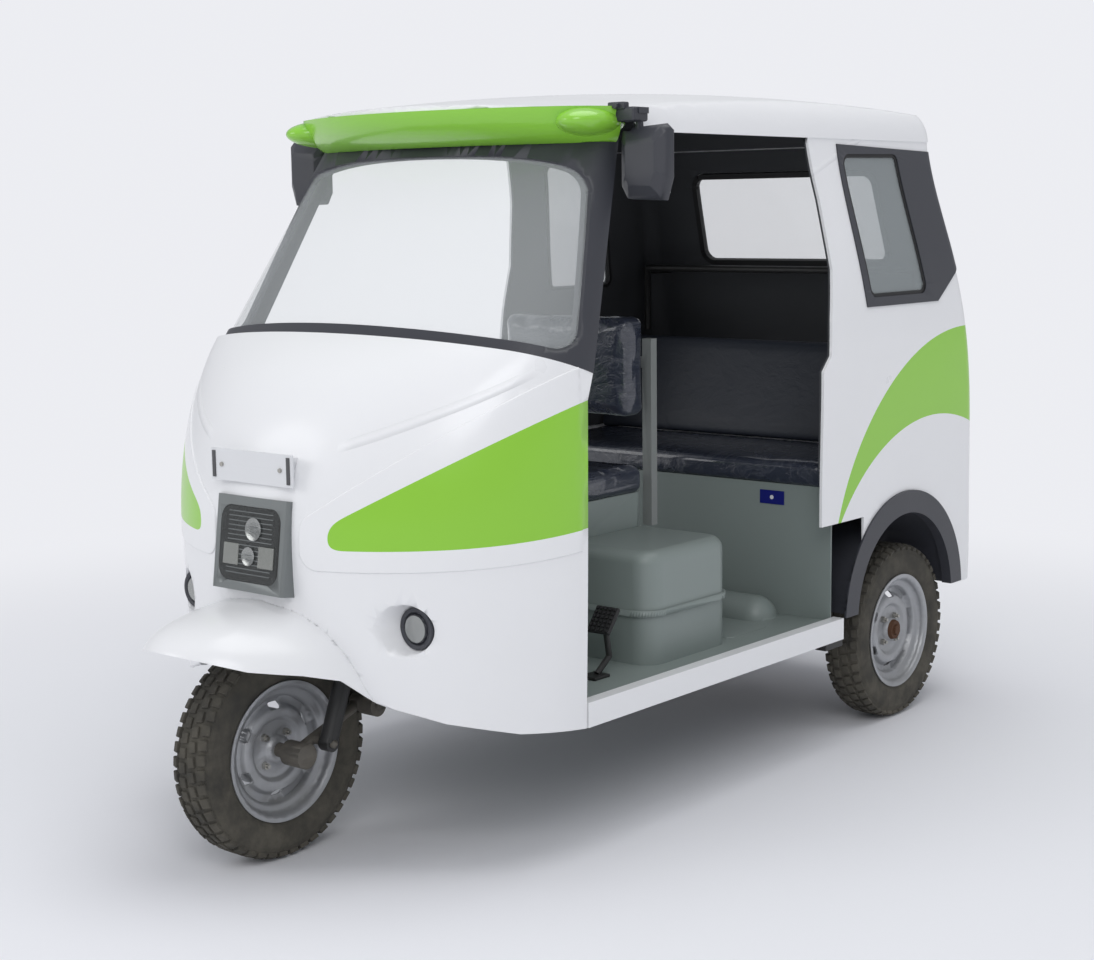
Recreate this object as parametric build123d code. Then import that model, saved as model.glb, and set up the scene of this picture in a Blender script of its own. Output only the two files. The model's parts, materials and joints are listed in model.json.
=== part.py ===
from build123d import *
from math import atan2, cos, degrees, hypot, radians, sin, sqrt, tan
import os

# An electric three-wheeled auto rickshaw: one steered front wheel on a single-sided fork,
# a rear axle with its motor, a ladder frame, and a moulded body with open doorways.
# Millimetres. Front faces -Y, the vehicle's left side is +X, the ground is Z = 0.
# Stations along Y are measured from the front axle; place_all moves them to the middle.

# Running gear
wheelbase = 1975.0
rear_track = 1026.0
tyre_r = 258.6
tyre_w = 110.0
tyre_bead_r = 157.0
rim_flange_r = 168.0
rim_w = 104.0
rim_wall = 4.0
hub_bore_r = 17.0
pin_clear = 0.05
drum_r = 92.0

# Steering
steer_rake = 25.0
steer_trail = 80.0
fork_crown_z = 585.0
fork_crown_t = 36.0
fork_side_x = 118.0
fork_tube_r = 20.0
link_pivot = (118.0, 218.0, 336.0)
link_x = 78.0
link_pin_r = 12.0
strut_pin_r = 10.0
stem_r = 19.0
head_tube_r = 28.0
head_low_z = 640.0
head_high_z = 800.0
handlebar_z = 985.0
handlebar_half = 300.0
handlebar_r = 12.5

# Body shell
wall = 8.0
trim_gap = 0.3
waist_z = 1137.0
door_front_y = 452.0
door_rear_y = 1480.0
sill_x = 600.0
sill_low_z = 307.0
sill_high_z = 367.0
roof_rail_z = 1690.0
roof_top_z = 1822.0
floor_z = 358.0
floor_t = 6.0

# Front fender and lamp
fender_y = 20.0
lamp_half_w = 122.0
lamp_low_z = 643.0
lamp_high_z = 862.0
lamp_face_y = -46.0
plate_z = 931.0
plate_half_w = 138.0
plate_h = 75.0

# Rear body
body_low_z = 362.0
arch_y = 1937.0
arch_z = 346.0
arch_r = 340.0
flare_band = 66.0
tail_y = 2386.0

# Cabin
riser_y = 1578.0
bench_z = 733.0
bench_top_z = 797.0
bench_back_y = 1952.0
console_half_w = 490.0
console_y = (840.0, 1200.0)
console_z = 650.0
seat_half_w = 230.0

# Chassis
rail_x = 235.0
rail_w = 40.0
rail_h = 56.0
rail_z = 296.0
kick_z = 470.0
spring_x = 330.0
axle_tube_r = 32.0

overall_front_y = -307.0
overall_rear_y = tail_y + 6.0
mid_y = (overall_front_y + overall_rear_y) / 2

nodes = {}


def keep(name, shape):
    """Store one node's solids under its name."""
    nodes[name] = shape


def both(shape):
    """A shape and its mirror image across the vehicle's middle plane."""
    return Compound(children=[*shape.solids(), *mirror(shape, Plane.YZ).solids()])


def box(x0, x1, y0, y1, z0, z1):
    """A plain block between two corners."""
    return Pos((x0 + x1) / 2, (y0 + y1) / 2, (z0 + z1) / 2) * Box(x1 - x0, y1 - y0, z1 - z0)


def rod(p, q, r):
    """A round bar from p to q."""
    a, b = Vector(*p), Vector(*q)
    return Solid.make_cylinder(r, (b - a).length, Plane(origin=a, z_dir=(b - a)))


def side_cut(points, radius=0.0, x0=-800.0, x1=800.0):
    """A side-view outline, as (Y, Z) points, run across the vehicle from x0 to x1."""
    face = Plane.YZ * make_face(Polyline(*points, close=True))
    solid = Pos(x0, 0, 0) * extrude(face, x1 - x0, dir=(1, 0, 0))
    if radius:
        solid = fillet(solid.edges().filter_by(Axis.X), radius)
    return solid


def front_cut(points, y0, y1, radius=0.0):
    """A front-view outline, as (X, Z) points, run along the vehicle from y0 to y1."""
    face = Plane.XZ * make_face(Polyline(*points, close=True))
    solid = Pos(0, y0, 0) * extrude(face, y1 - y0, dir=(0, 1, 0))
    if radius:
        solid = fillet(solid.edges().filter_by(Axis.Y), radius)
    return solid


def oval_radii(a, b):
    """Side and front radii of the four-arc oval with half-width a and forward reach b."""
    d = hypot(a, b)
    return d * (d - (a - b)) / (2 * a), d * (d + (a - b)) / (2 * b)


def nose_section(z, a, yc, b, y_rear):
    """A plan outline at height z: an oval nose ahead of yc, straight sides back to y_rear."""
    r, big = oval_radii(a, b)
    ux, uy = (a - r) / (big - r), (b - big) / (big - r)
    tx, ty = a - r + r * ux, yc + r * uy
    m = hypot(1 + ux, uy)
    sx, sy = a - r + r * (1 + ux) / m, yc + r * uy / m
    edges = [
        Line((a, y_rear), (a, yc)),
        ThreePointArc((a, yc), (sx, sy), (tx, ty)),
        ThreePointArc((tx, ty), (0, yc - b), (-tx, ty)),
        ThreePointArc((-tx, ty), (-sx, sy), (-a, yc)),
        Line((-a, yc), (-a, y_rear)),
        Line((-a, y_rear), (a, y_rear)),
    ]
    return Pos(0, 0, z) * Wire(edges)


def tail_section(z, a, y_front, y_rear, r):
    """A plan outline at height z: straight sides from y_front to rounded rear corners."""
    k = r * (1 - sqrt(0.5))
    edges = [
        Line((-a, y_front), (a, y_front)),
        Line((a, y_front), (a, y_rear - r)),
        ThreePointArc((a, y_rear - r), (a - k, y_rear - k), (a - r, y_rear)),
        Line((a - r, y_rear), (r - a, y_rear)),
        ThreePointArc((r - a, y_rear), (k - a, y_rear - k), (-a, y_rear - r)),
        Line((-a, y_rear - r), (-a, y_front)),
    ]
    return Pos(0, 0, z) * Wire(edges)


rake = Vector(0, tan(radians(steer_rake)), 1).normalized()


def steer_point(z):
    """The steering axis at height z."""
    return (0.0, -steer_trail + tan(radians(steer_rake)) * z, z)


# Plan sections of the nose: height, half-width, centre station, forward reach
nose_table = [
    (285.0, 598.0, 448.0, 470.0),
    (445.0, 599.0, 449.0, 476.0),
    (605.0, 600.0, 450.0, 481.0),
    (765.0, 600.0, 455.0, 491.0),
    (925.0, 600.0, 466.0, 481.0),
    (1085.0, 600.0, 477.0, 413.0),
    (1245.0, 588.0, 506.0, 246.0),
]
# Plan sections of the windscreen cone, from the waist to above the visor
screen_table = [
    (waist_z - 1, 601.0, 470.0, 306.0),
    (1720.0, 473.0, 757.0, 142.0),
]
# Plan sections of the rear body: height, half-width, rear face, corner radius
tail_table = [
    (340.0, 598.0, tail_y, 70.0),
    (615.0, 600.0, tail_y - 2, 70.0),
    (890.0, 600.0, tail_y - 8, 70.0),
    (1165.0, 597.0, tail_y - 50, 66.0),
    (1440.0, 566.0, tail_y - 132, 60.0),
    (1715.0, 539.0, tail_y - 206, 56.0),
]
# Plan sections of the fender dome: height, half-width, forward reach from fender_y
fender_table = [
    (405.0, 314.0, 306.0),
    (470.0, 272.0, 316.0),
    (548.0, 216.0, 324.0),
    (585.0, 168.0, 262.0),
    (608.0, 112.0, 150.0),
    (621.0, 40.0, 60.0),
]


def nose_form(inset=0.0):
    """The solid nose up to the windscreen base, drawn in by inset."""
    wires = [nose_section(z, a - inset, yc, b - inset, 560 + inset)
             for z, a, yc, b in nose_table]
    return Solid.make_loft(wires)


def screen_form(inset=0.0):
    """The solid windscreen cone, drawn in by inset."""
    wires = [nose_section(z, a - inset, yc, b - inset, 900 + inset)
             for z, a, yc, b in screen_table]
    return Solid.make_loft(wires, ruled=True)


def tail_form(inset=0.0):
    """The solid rear body, drawn in by inset."""
    wires = [tail_section(z, a - inset, 1440 - inset, y - inset, r - inset)
             for z, a, y, r in tail_table]
    return Solid.make_loft(wires)


def fender_form(inset=0.0):
    """The solid front fender dome."""
    wires = [nose_section(z - inset * (z > 500), a - inset, fender_y, b - inset, 140.0)
             for z, a, b in fender_table]
    return Solid.make_loft(wires)


# Side-view lines of the body, as (Y, Z) points
split_slope = -0.341
split_mid = (222.0, 1225.0)
door_front_line = [(445.0, 250.0), (456.0, 781.0), (460.0, 1077.0), (481.0, waist_z)]
pillar_line = [(481.0, waist_z), (721.0, 1648.0), (742.0, 1692.0)]
cowl_low_line = [(700.0, sill_low_z), (448.0, sill_low_z), (262.0, 327.0), (130.0, 362.0),
                 (64.0, 394.0), (20.0, 426.0)]
fender_low_line = [(60.0, 400.0), (33.0, 417.0), (-24.0, 466.0), (-110.0, 490.0),
                   (-216.0, 510.0), (-330.0, 552.0)]
b_pillar_line = [(1476.0, 640.0), (door_rear_y, 1065.0), (1521.0, 1106.0), (1529.0, 1203.0),
                 (1550.0, 1337.0), (1528.0, 1525.0), (1487.0, 1694.0)]
quarter_window = [(1656.0, 1649.0), (1740.0, 1254.0), (2062.0, 1254.0), (1958.0, 1653.0)]
quarter_trim_line = [(1632.0, 1676.0), (1716.0, 1228.0), (2120.0, 1228.0), (2262.0, 1322.0),
                     (2150.0, 1662.0)]
rear_window_line = [(-340.0, 1618.0), (-357.0, 1326.0), (357.0, 1326.0), (340.0, 1618.0)]


def split_z(y):
    """Height of the seam between the cowl and the windscreen frame at station y."""
    return split_mid[1] + split_slope * (y - split_mid[0])


def under_plane(z0, per_x, per_y):
    """Everything below the plane z = z0 + per_x * x + per_y * y."""
    plane = Plane(origin=(0, 0, z0), x_dir=(1, 0, per_x), z_dir=(-per_x, -per_y, 1))
    return plane * (Pos(0, 0, -1500) * Box(4000, 4000, 3000))


def cheek_pad():
    """The raised field that carries the painted stripe, on the left cheek."""
    field = box(pad_tip_x, 700, -200, pad_rear_y, 500, 1300)
    field = (field & under_plane(736, 0.591, 0.156)) - under_plane(708, -0.010, 0.064)
    field = fillet(field.edges().filter_by(
        lambda e: abs(e.center().X - pad_tip_x) < 1 and e.length > 300), 45)
    pad = (nose_form(-pad_rise) - nose_form(wall / 2)) & field
    under_skin = nose_form(1 - pad_rise)
    rim = [e for e in pad.edges() if not under_skin.is_inside(e @ 0.5)
           and not (abs((e % 0.5).Z) > 0.9 and (e @ 0.5).X > 300)]
    return fillet(rim, pad_rise - 0.6)


# Front cowl: the nose moulding, open behind and below
pad_rise = 4.0
pad_tip_x = 143.0
pad_rear_y = 432.0
nose_outer = nose_form()
cowl = nose_outer - nose_form(wall)
jamb = (nose_form(wall / 2) - nose_form(38)) & side_cut(
    door_front_line + [(y - wall, z) for y, z in reversed(door_front_line)])
cowl = cowl + jamb
cowl -= side_cut([(-300, split_z(-300)), (700, split_z(700)), (700, 1500), (-300, 1500)])
cowl -= side_cut(door_front_line + [(900, waist_z + 80), (900, 250)])
cowl -= side_cut(cowl_low_line + [(-300, 426), (-300, 200), (700, 200)])
cowl -= fender_form(wall)
cowl += both(cheek_pad())
# Plate bolt holes, along the vehicle, through the plate's bracket and the cowl
plate_face_y = -33.0
plate_face = Plane(origin=(0, plate_face_y, plate_z), x_dir=(1, 0, 0), z_dir=(0, -1, 0))
plate_bolt_x = 100.0
plate_bolt_r = 3.2
bolt_hole = plate_face * (Pos(plate_bolt_x, 0, -30) * Cylinder(plate_bolt_r, 90))
cowl -= both(bolt_hole)
# Fog lamp pockets: tapered cups that open forwards through the cheeks
fog_floor_r = 49.0
fog_mouth_r = 73.0
fog_depth = 88.0
fog_barrel_r = 40.0
fog_plane = Plane(origin=(380, 118, 577), x_dir=(1, 0, 0), z_dir=(0, -1, 0))
fog_open = fog_plane * (Pos(0, 0, fog_depth / 2) * Cone(fog_floor_r, fog_mouth_r, fog_depth))
fog_cup = fog_plane * (Pos(0, 0, fog_depth / 2 - 2.5)
                       * Cone(fog_floor_r + 4, fog_mouth_r + 4, fog_depth + 5))
fog_cup = (fog_cup & nose_form(2)) - fog_open - fog_plane * Cylinder(fog_barrel_r, 40)
cowl = cowl - both(fog_open) + both(fog_cup)
keep("front_cowl", cowl)

# Front fender: a dome on the nose over the steered wheel, with a rolled lip
fender_shell = fender_form() - fender_form(wall - 2)
fender_shell -= side_cut(fender_low_line + [(-400, 552), (-400, 300), (60, 300)])
fender_shell -= nose_outer
keep("front_fender", fender_shell)

# Windscreen frame and glass
frame_t = 28.0
pillar_face = 62.0
screen_side = side_cut(
    [(-100, split_z(-100)), (pillar_line[0][0], split_z(pillar_line[0][0]))]
    + pillar_line[1:] + [(-100, pillar_line[-1][1])])
screen_open = side_cut([
    (-200, split_z(-200) + 30), (445, split_z(445) + 30), (655, 1642), (-200, 1642)])
screen_open = fillet(
    screen_open.edges().filter_by(Axis.X).filter_by(lambda e: e.center().Y > 300), 70)
screen_frame = (screen_form() - screen_form(frame_t)) & screen_side
screen_frame -= screen_open
keep("windshield_frame", screen_frame)
glass = (screen_form(9) - screen_form(14)) & screen_open & screen_side
keep("windshield_glass", glass)

# Roof: side bands under a shallow crown, with the visor below its front edge
roof_table = [
    (roof_rail_z, 542.0, 740.0, 268.0, tail_y - 200, 60.0),
    (1726.0, 540.0, 739.0, 270.0, tail_y - 208, 62.0),
    (1762.0, 528.0, 735.0, 262.0, tail_y - 222, 74.0),
    (1798.0, 480.0, 722.0, 214.0, tail_y - 272, 104.0),
    (1834.0, 370.0, 700.0, 128.0, tail_y - 380, 130.0),
]
crown_y = 1550.0
crown_rx = 3600.0
crown_ry = 9500.0


def roof_section(z, a, yc, b, y_rear, r_rear):
    """A plan outline at height z with an oval front and rounded rear corners."""
    r, big = oval_radii(a, b)
    ux, uy = (a - r) / (big - r), (b - big) / (big - r)
    tx, ty = a - r + r * ux, yc + r * uy
    m = hypot(1 + ux, uy)
    sx, sy = a - r + r * (1 + ux) / m, yc + r * uy / m
    k = r_rear * (1 - sqrt(0.5))
    edges = [
        Line((a, y_rear - r_rear), (a, yc)),
        ThreePointArc((a, yc), (sx, sy), (tx, ty)),
        ThreePointArc((tx, ty), (0, yc - b), (-tx, ty)),
        ThreePointArc((-tx, ty), (-sx, sy), (-a, yc)),
        Line((-a, yc), (-a, y_rear - r_rear)),
        ThreePointArc((-a, y_rear - r_rear), (k - a, y_rear - k), (r_rear - a, y_rear)),
        Line((r_rear - a, y_rear), (a - r_rear, y_rear)),
        ThreePointArc((a - r_rear, y_rear), (a - k, y_rear - k), (a, y_rear - r_rear)),
    ]
    return Pos(0, 0, z) * Wire(edges)


def crown(drop=0.0):
    """A barrel-shaped block whose top is the roof's crown, lowered by drop."""
    top = roof_top_z - drop
    half = 1500.0
    sag = crown_ry - sqrt(crown_ry ** 2 - half ** 2)
    face = make_face([
        ThreePointArc((crown_y - half, top - sag), (crown_y, top), (crown_y + half, top - sag)),
        Line((crown_y + half, top - sag), (crown_y + half, top - crown_rx)),
        Line((crown_y + half, top - crown_rx), (crown_y - half, top - crown_rx)),
        Line((crown_y - half, top - crown_rx), (crown_y - half, top - sag)),
    ])
    face = Plane.YZ * face
    return revolve(face, Axis((0, 0, top - crown_rx), (0, 1, 0)), 360)


def roof_form(inset=0.0):
    """The solid roof, drawn in by inset."""
    wires = [roof_section(z, a - inset, yc, b - inset, y - inset, r - inset)
             for z, a, yc, b, y, r in roof_table]
    return Solid.make_loft(wires) & crown(inset)


visor_z = 1748.0
roof_cut = side_cut([(300, 1600), (742, 1600), (742, roof_rail_z + 4), (700, visor_z),
                     (300, visor_z)])
roof = roof_form() - roof_form(wall) - roof_cut
keep("roof", roof)
lining = roof_form(wall + trim_gap) - roof_form(wall + 6)
lining -= roof_cut
keep("roof_lining", lining)

# Visor: a green brim across the front, under the roof's edge
visor_table = [
    (1664.0, 484.0, 740.0, 180.0),
    (1700.0, 512.0, 738.0, 250.0),
    (visor_z - trim_gap, 524.0, 734.0, 272.0),
]


def visor_form(inset=0.0):
    """The solid brim below the roof's front edge."""
    wires = [nose_section(z, a - inset, yc, b - inset, 760 + inset)
             for z, a, yc, b in visor_table]
    return Solid.make_loft(wires)


visor = visor_form() - visor_form(wall)
visor -= side_cut([(700, 1640), (722, 1664), (698, 1722), (698, 1760), (900, 1760), (900, 1640)])
keep("visor", visor - screen_form(-trim_gap))

# Rear body: two quarter panels and the rear panel between them
panel_seam_x = 470.0
tail_shell = tail_form() - tail_form(wall)
wheel_arch = Pos(0, arch_y, arch_z) * Rot(0, 90, 0) * Cylinder(arch_r - 40, 1400)
front_part = side_cut(b_pillar_line + [(1300, 1694), (1300, 640)])
below_seam = side_cut([(1300, 200), (1300, 640), (1700, 640), (1700, 200)])
quarter_open = side_cut(quarter_window)
quarter_open = fillet(quarter_open.edges().filter_by(Axis.X), 28)
tail_shell = tail_shell & box(-700, 700, 1460, 2600, body_low_z, roof_rail_z)
tail_shell = tail_shell - front_part - below_seam - wheel_arch
quarters = tail_shell - box(-panel_seam_x, panel_seam_x, 1200, 2600, 200, 1800) - quarter_open
for x0, name in ((0, "quarter_panel_left"), (-800, "quarter_panel_right")):
    keep(name, quarters & box(x0, x0 + 800, 1200, 2600, 200, 1800))
rear_open = front_cut(rear_window_line, 2000, 2600, 48)
rear_panel = tail_shell & box(-panel_seam_x + trim_gap, panel_seam_x - trim_gap,
                              2000, 2600, 200, 1800)
keep("rear_panel", rear_panel - rear_open)
glazing = (tail_form(2) - tail_form(6))
side_glass = (glazing & quarter_open) - box(-400, 400, 1200, 2600, 200, 1800)
rear_glass = glazing & rear_open
keep("rear_glazing", Compound(children=[*side_glass.solids(), *rear_glass.solids()]))
trim_skin = tail_form(-4) - tail_form(-trim_gap / 3)
trim_area = side_cut(quarter_trim_line) - quarter_open
trim = (trim_skin & trim_area) - box(-400, 400, 1200, 2600, 200, 1800)
keep("quarter_trims", Compound(children=[*trim.solids()]))

# Wheel flares and arch liners
flare_out = 7.0


def ring(r_in, r_out, x0, x1):
    """A ring round the rear wheel arch between two X planes."""
    band = Cylinder(r_out, x1 - x0) - Cylinder(r_in, x1 - x0 + 2)
    return Pos((x0 + x1) / 2, arch_y, arch_z) * Rot(0, 90, 0) * band


above_sill = box(-900, 900, 1400, 2500, sill_high_z, 900)
flare_outer = ring(arch_r - 40 + trim_gap, arch_r, 560, 600 + flare_out) - tail_form(-trim_gap)
flare_lip = ring(arch_r - flare_band, arch_r - 40 - trim_gap, 576, 600 + flare_out)
flare_join = ring(arch_r - 42, arch_r - 36, 601, 600 + flare_out) - tail_form(-trim_gap)
flare = (flare_outer + flare_lip + flare_join) & above_sill
keep("wheel_flares", both(flare))
liner = ring(arch_r - 52, arch_r - 46, 404, 576 - trim_gap)
liner += ring(60, arch_r - 46, 398, 404) - box(390, 420, 1400, 2500, 0, 345)
liner = liner & above_sill
keep("wheel_arch_liners", both(liner))

# Floor tub: sills, floor with its cross hump and raised foot tread, toe board
cy0, cy1 = console_y
sill = box(sill_x - 34, sill_x, door_front_y, 1596, sill_low_z, sill_high_z)
keep("side_sills", both(sill))
floor_half = sill_x - 34 - trim_gap
hump_y = 1500.0
hump_r = 62.0
hump = Pos(0, hump_y, floor_z) * Rot(0, 90, 0) * Cylinder(hump_r, 2 * (430 - hump_r))
hump += both(Pos(430 - hump_r, hump_y, floor_z) * Sphere(hump_r))
hump -= box(-600, 600, hump_y - 200, hump_y + 200, floor_z - 200, floor_z - floor_t)
stem_gap = rod(steer_point(600), steer_point(1100), stem_r + 14)
floor = box(-floor_half, floor_half, 430, riser_y - trim_gap, floor_z - floor_t, floor_z)
floor -= both(box(558, 600, 400, 456, 300, 400))
toe = side_cut([(430, floor_z - floor_t), (430, floor_z), (338, 640), (338, 900), (332, 900),
                (332, 640), (424, floor_z - floor_t)], 0, -440, 440)
tread = box(-470, 470, cy1 + 28, hump_y - hump_r - 20, floor_z, floor_z + 2)
tread = fillet(tread.edges().filter_by(Axis.Z), 24)
keep("floor_pan", floor + hump + toe + tread - stem_gap)

# Rear bench
riser = box(-566, 566, riser_y, riser_y + 6, floor_z - floor_t, 634)
riser += box(-555, 555, riser_y, riser_y + 6, 600, bench_z)
riser += box(-555, 555, riser_y, bench_back_y + 60, bench_z - 6, bench_z)
keep("rear_riser", riser)
cushion = box(-552, 552, riser_y - 18, bench_back_y + 50, bench_z + trim_gap, bench_top_z)
keep("rear_seat_cushion", fillet(cushion.edges(), 18))
lean = (2065 - bench_back_y) / (1105.0 - bench_top_z)
back = side_cut([(bench_back_y, bench_top_z + trim_gap), (2065, 1105), (2125, 1092),
                 (bench_back_y + 62, bench_top_z + trim_gap)], 0, -552, 552)
keep("rear_seat_back", fillet(back.edges(), 14))

# Cabin lining behind the seat and over the corner posts
inner = tail_form(wall + trim_gap) - tail_form(wall + 6)
inner = inner & box(-800, 800, 1460, 2600, 800, roof_rail_z - 4)
inner = inner - front_part - quarter_open - rear_open
keep("cabin_lining", inner)
rail_y = 2160.0
rails = rod((-500, rail_y, 1312), (500, rail_y, 1312), 11)
rails += both(rod((500, rail_y, 1312), (500, rail_y, 1110), 11)
              + Pos(500, rail_y, 1312) * Sphere(11)
              + rod((500, rail_y, 1300), (500, 2300, 1300), 9))
rails = rails & tail_form(wall + 6 + trim_gap)
keep("cabin_rails", rails)

# Driver's console, battery and seat
console = box(-console_half_w, console_half_w, cy0, cy1, floor_z, console_z)
console = fillet(console.edges().filter_by(Axis.Z), 60)
console = fillet(console.faces().sort_by(Axis.Z)[-1].edges(), 34)
band = box(-console_half_w - 9, console_half_w + 9, cy0 - 9, cy1 + 9, 484, 500)
band = fillet(band.edges().filter_by(Axis.Z), 69)
hollow = box(-console_half_w + 8, console_half_w - 8, cy0 + 8, cy1 - 8, floor_z - 5, console_z - 8)
hollow = fillet(hollow.edges().filter_by(Axis.Z), 52)
hollow = fillet(hollow.faces().sort_by(Axis.Z)[-1].edges(), 26)
keep("battery_console", console + band - hollow)
battery = box(-400, 400, cy0 + 40, cy1 - 40, floor_z + trim_gap, 590)
keep("battery_pack", battery)
seat_base = box(-seat_half_w + 15, seat_half_w - 15, 880, 1180, console_z + trim_gap, 745)
keep("driver_seat_base", fillet(seat_base.edges().filter_by(Axis.Z), 30))
seat = box(-seat_half_w, seat_half_w, 860, 1170, 745 + trim_gap, 815)
keep("driver_seat_cushion", fillet(seat.edges(), 20))
seat_back = box(-seat_half_w + 8, seat_half_w - 8, 1104, 1190, 948, 1225)
keep("driver_seat_back", fillet(seat_back.edges(), 26))
post = box(205, 235, 1190 + trim_gap, 1216, console_z + trim_gap, 1160)
brace = box(-205, 205, 1190 + trim_gap, 1210, 1080, 1110)
keep("driver_seat_frame", both(post) + brace)

# Chassis: ladder rails that kick up over the axle, cross members, head tube
rail = side_cut([(330, rail_z), (1600, rail_z), (1740, kick_z - rail_h), (2330, kick_z - rail_h),
                 (2330, kick_z), (1725, kick_z), (1586, rail_z + rail_h - 0.5),
                 (330, rail_z + rail_h - 0.5)], 0, rail_x - rail_w / 2, rail_x + rail_w / 2)
frame = both(rail)
for y in (400.0, 830.0, 1240.0, 1540.0):
    frame = frame + box(-560, 560, y - 20, y + 20, rail_z + 10, rail_z + rail_h - 0.5)
for y in (1760.0, 2310.0):
    frame = frame + box(-rail_x, rail_x, y - 20, y + 20, kick_z - rail_h, kick_z)
head = rod(steer_point(head_low_z), steer_point(head_high_z), head_tube_r)
neck_y = 348.0
neck_x = 300.0
neck = both(rod((neck_x, neck_y, rail_z + 30), (10, steer_point(785)[1], 785), 18))
neck += rod((-40, neck_y, rail_z + 30), (-10, steer_point(690)[1], 690), 16)
neck += box(-neck_x - 18, neck_x + 18, neck_y - 18, neck_y + 18, rail_z + 12, rail_z + rail_h - 0.5)
head_bore = rod(steer_point(head_low_z - 60), steer_point(head_high_z + 60), stem_r + pin_clear)
frame = frame + neck + head - head_bore
keep("chassis_frame", frame)

# Dashboard shelf under the windscreen
dash = side_cut([(332 - trim_gap, 760), (332 - trim_gap, 900), (250, 960), (150, 1120),
                 (110, 1120), (110, 1100), (200, 900), (260, 760)], 0, -430, 430)
dash = dash & nose_form(wall + trim_gap)
keep("dashboard", dash - stem_gap - neck - head)

# Rear axle, motor and leaf springs
wheel_x = rear_track / 2
axle = Pos(0, wheelbase, tyre_r) * Rot(0, 90, 0) * Cylinder(axle_tube_r, 2 * (wheel_x - 66))
diff = Pos(40, wheelbase, tyre_r) * Rot(0, 90, 0) * Cylinder(88, 120)
axle += fillet(diff.edges(), 30)
axle += both(rod((wheel_x - 70, wheelbase, tyre_r), (wheel_x + 28, wheelbase, tyre_r),
                 hub_bore_r - pin_clear))
axle += both(rod((wheel_x - 64, wheelbase, tyre_r), (wheel_x - 58, wheelbase, tyre_r), drum_r - 2))
keep("rear_axle", axle)
motor = rod((40, wheelbase - 60, tyre_r + 12), (40, wheelbase - 330, tyre_r + 12), 92)
motor -= Pos(40, wheelbase, tyre_r) * Rot(0, 90, 0) * Cylinder(88 + trim_gap, 300)
keep("drive_motor", motor)
spring_low = tyre_r + axle_tube_r
spring = None
for i, half in enumerate((340.0, 250.0, 170.0)):
    z = spring_low + 2 + 9 * (2 - i)
    rise = 70.0 * (half / 340.0) ** 2
    leaf_face = make_face([
        ThreePointArc((wheelbase - half, z + rise), (wheelbase, z), (wheelbase + half, z + rise)),
        Line((wheelbase + half, z + rise), (wheelbase + half, z + rise + 8.2)),
        ThreePointArc((wheelbase + half, z + rise + 8.2), (wheelbase, z + 8.2),
                      (wheelbase - half, z + rise + 8.2)),
        Line((wheelbase - half, z + rise + 8.2), (wheelbase - half, z + rise)),
    ])
    leaf = Pos(spring_x - 25, 0, 0) * extrude(Plane.YZ * leaf_face, 50)
    spring = leaf if spring is None else spring + leaf
spring += box(spring_x - 30, spring_x + 30, wheelbase - 40, wheelbase + 40,
              spring_low - 14, spring_low + 34)
spring -= rod((spring_x - 60, wheelbase, tyre_r), (spring_x + 60, wheelbase, tyre_r),
              axle_tube_r + pin_clear)
for y in (wheelbase - 330, wheelbase + 330):
    spring += box(rail_x + rail_w / 2, spring_x + 20, y - 14, y + 14, spring_low + 84, kick_z - 20)
keep("leaf_springs", both(spring))

# Lamps, plate and mirrors
tilt = degrees(atan2(29, 219))
lamp_plane = Plane(origin=(0, lamp_face_y, (lamp_low_z + lamp_high_z) / 2), x_dir=(1, 0, 0),
                   z_dir=(0, -cos(radians(tilt)), sin(radians(tilt))))
lamp_h = lamp_high_z - lamp_low_z
bezel = lamp_plane * (Pos(0, 0, -30) * Box(2 * lamp_half_w, lamp_h, 60))
bezel = fillet(bezel.edges().filter_by(lambda e: abs(e.center().Y - lamp_face_y) < 14), 8)
lamp_well = lamp_plane * (Pos(0, 0, -9) * Box(204, 176, 30))
lamp_well = fillet(lamp_well.edges().filter_by(lambda e: e.length < 40), 34)
keep("headlamp_bezel", bezel - lamp_well - nose_form(-trim_gap / 3))
lens = lamp_plane * (Pos(0, 0, -12) * Box(203, 175, 24))
lens = fillet(lens.edges().filter_by(lambda e: e.length < 40), 33.5)
keep("headlamp", lens - nose_form(-trim_gap / 3))
plate = plate_face * (Pos(0, 0, -3) * Box(2 * plate_half_w, plate_h, 6))
plate += plate_face * (Pos(0, 0, -26) * Box(2 * plate_half_w - 40, plate_h - 22, 41))
plate -= nose_form(-trim_gap / 3)
keep("number_plate", plate - both(bolt_hole))
fog = Pos(0, 0, 6 + trim_gap) * Cylinder(fog_floor_r - 1, 12) - Pos(0, 0, 12) * Cylinder(38, 10)
fog += Pos(0, 0, -14) * Cylinder(fog_barrel_r - trim_gap, 30)
fog += Pos(0, 0, 6) * Cylinder(33, 14)
keep("fog_lamps", both(fog_plane * fog))
tail_lamp = box(440, 520, tail_y - 8, tail_y + 6, 760, 900) - tail_form(-trim_gap / 3)
tail_lamp = tail_lamp & box(430, 520, 2300, 2500, 700, 900)
keep("tail_lamps", both(tail_lamp))
mirror_mid = (576.0, 1616.0)
mirror_line = [(506, 1560), (524, 1530), (628, 1526), (645, 1580), (645, 1690), (628, 1705),
               (512, 1698), (506, 1670)]


def mirror_outline(y, share):
    """The mirror housing's outline at station y, drawn towards its middle by share."""
    cx, cz = mirror_mid
    return Wire.make_polygon([(cx + (x - cx) * share, y, cz + (z - cz) * share)
                              for x, z in mirror_line])


housing = Solid.make_loft([mirror_outline(737, 0.98), mirror_outline(733, 1.0),
                           mirror_outline(712, 0.97), mirror_outline(691, 0.6)], ruled=True)
arm = rod((556, 720, 1695), (556, 720, 1742), 9) + box(530, 570, 700, 738, 1730, 1744)
keep("mirrors", both(housing + arm - roof_form(-trim_gap) - visor_form(-trim_gap)))

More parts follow.
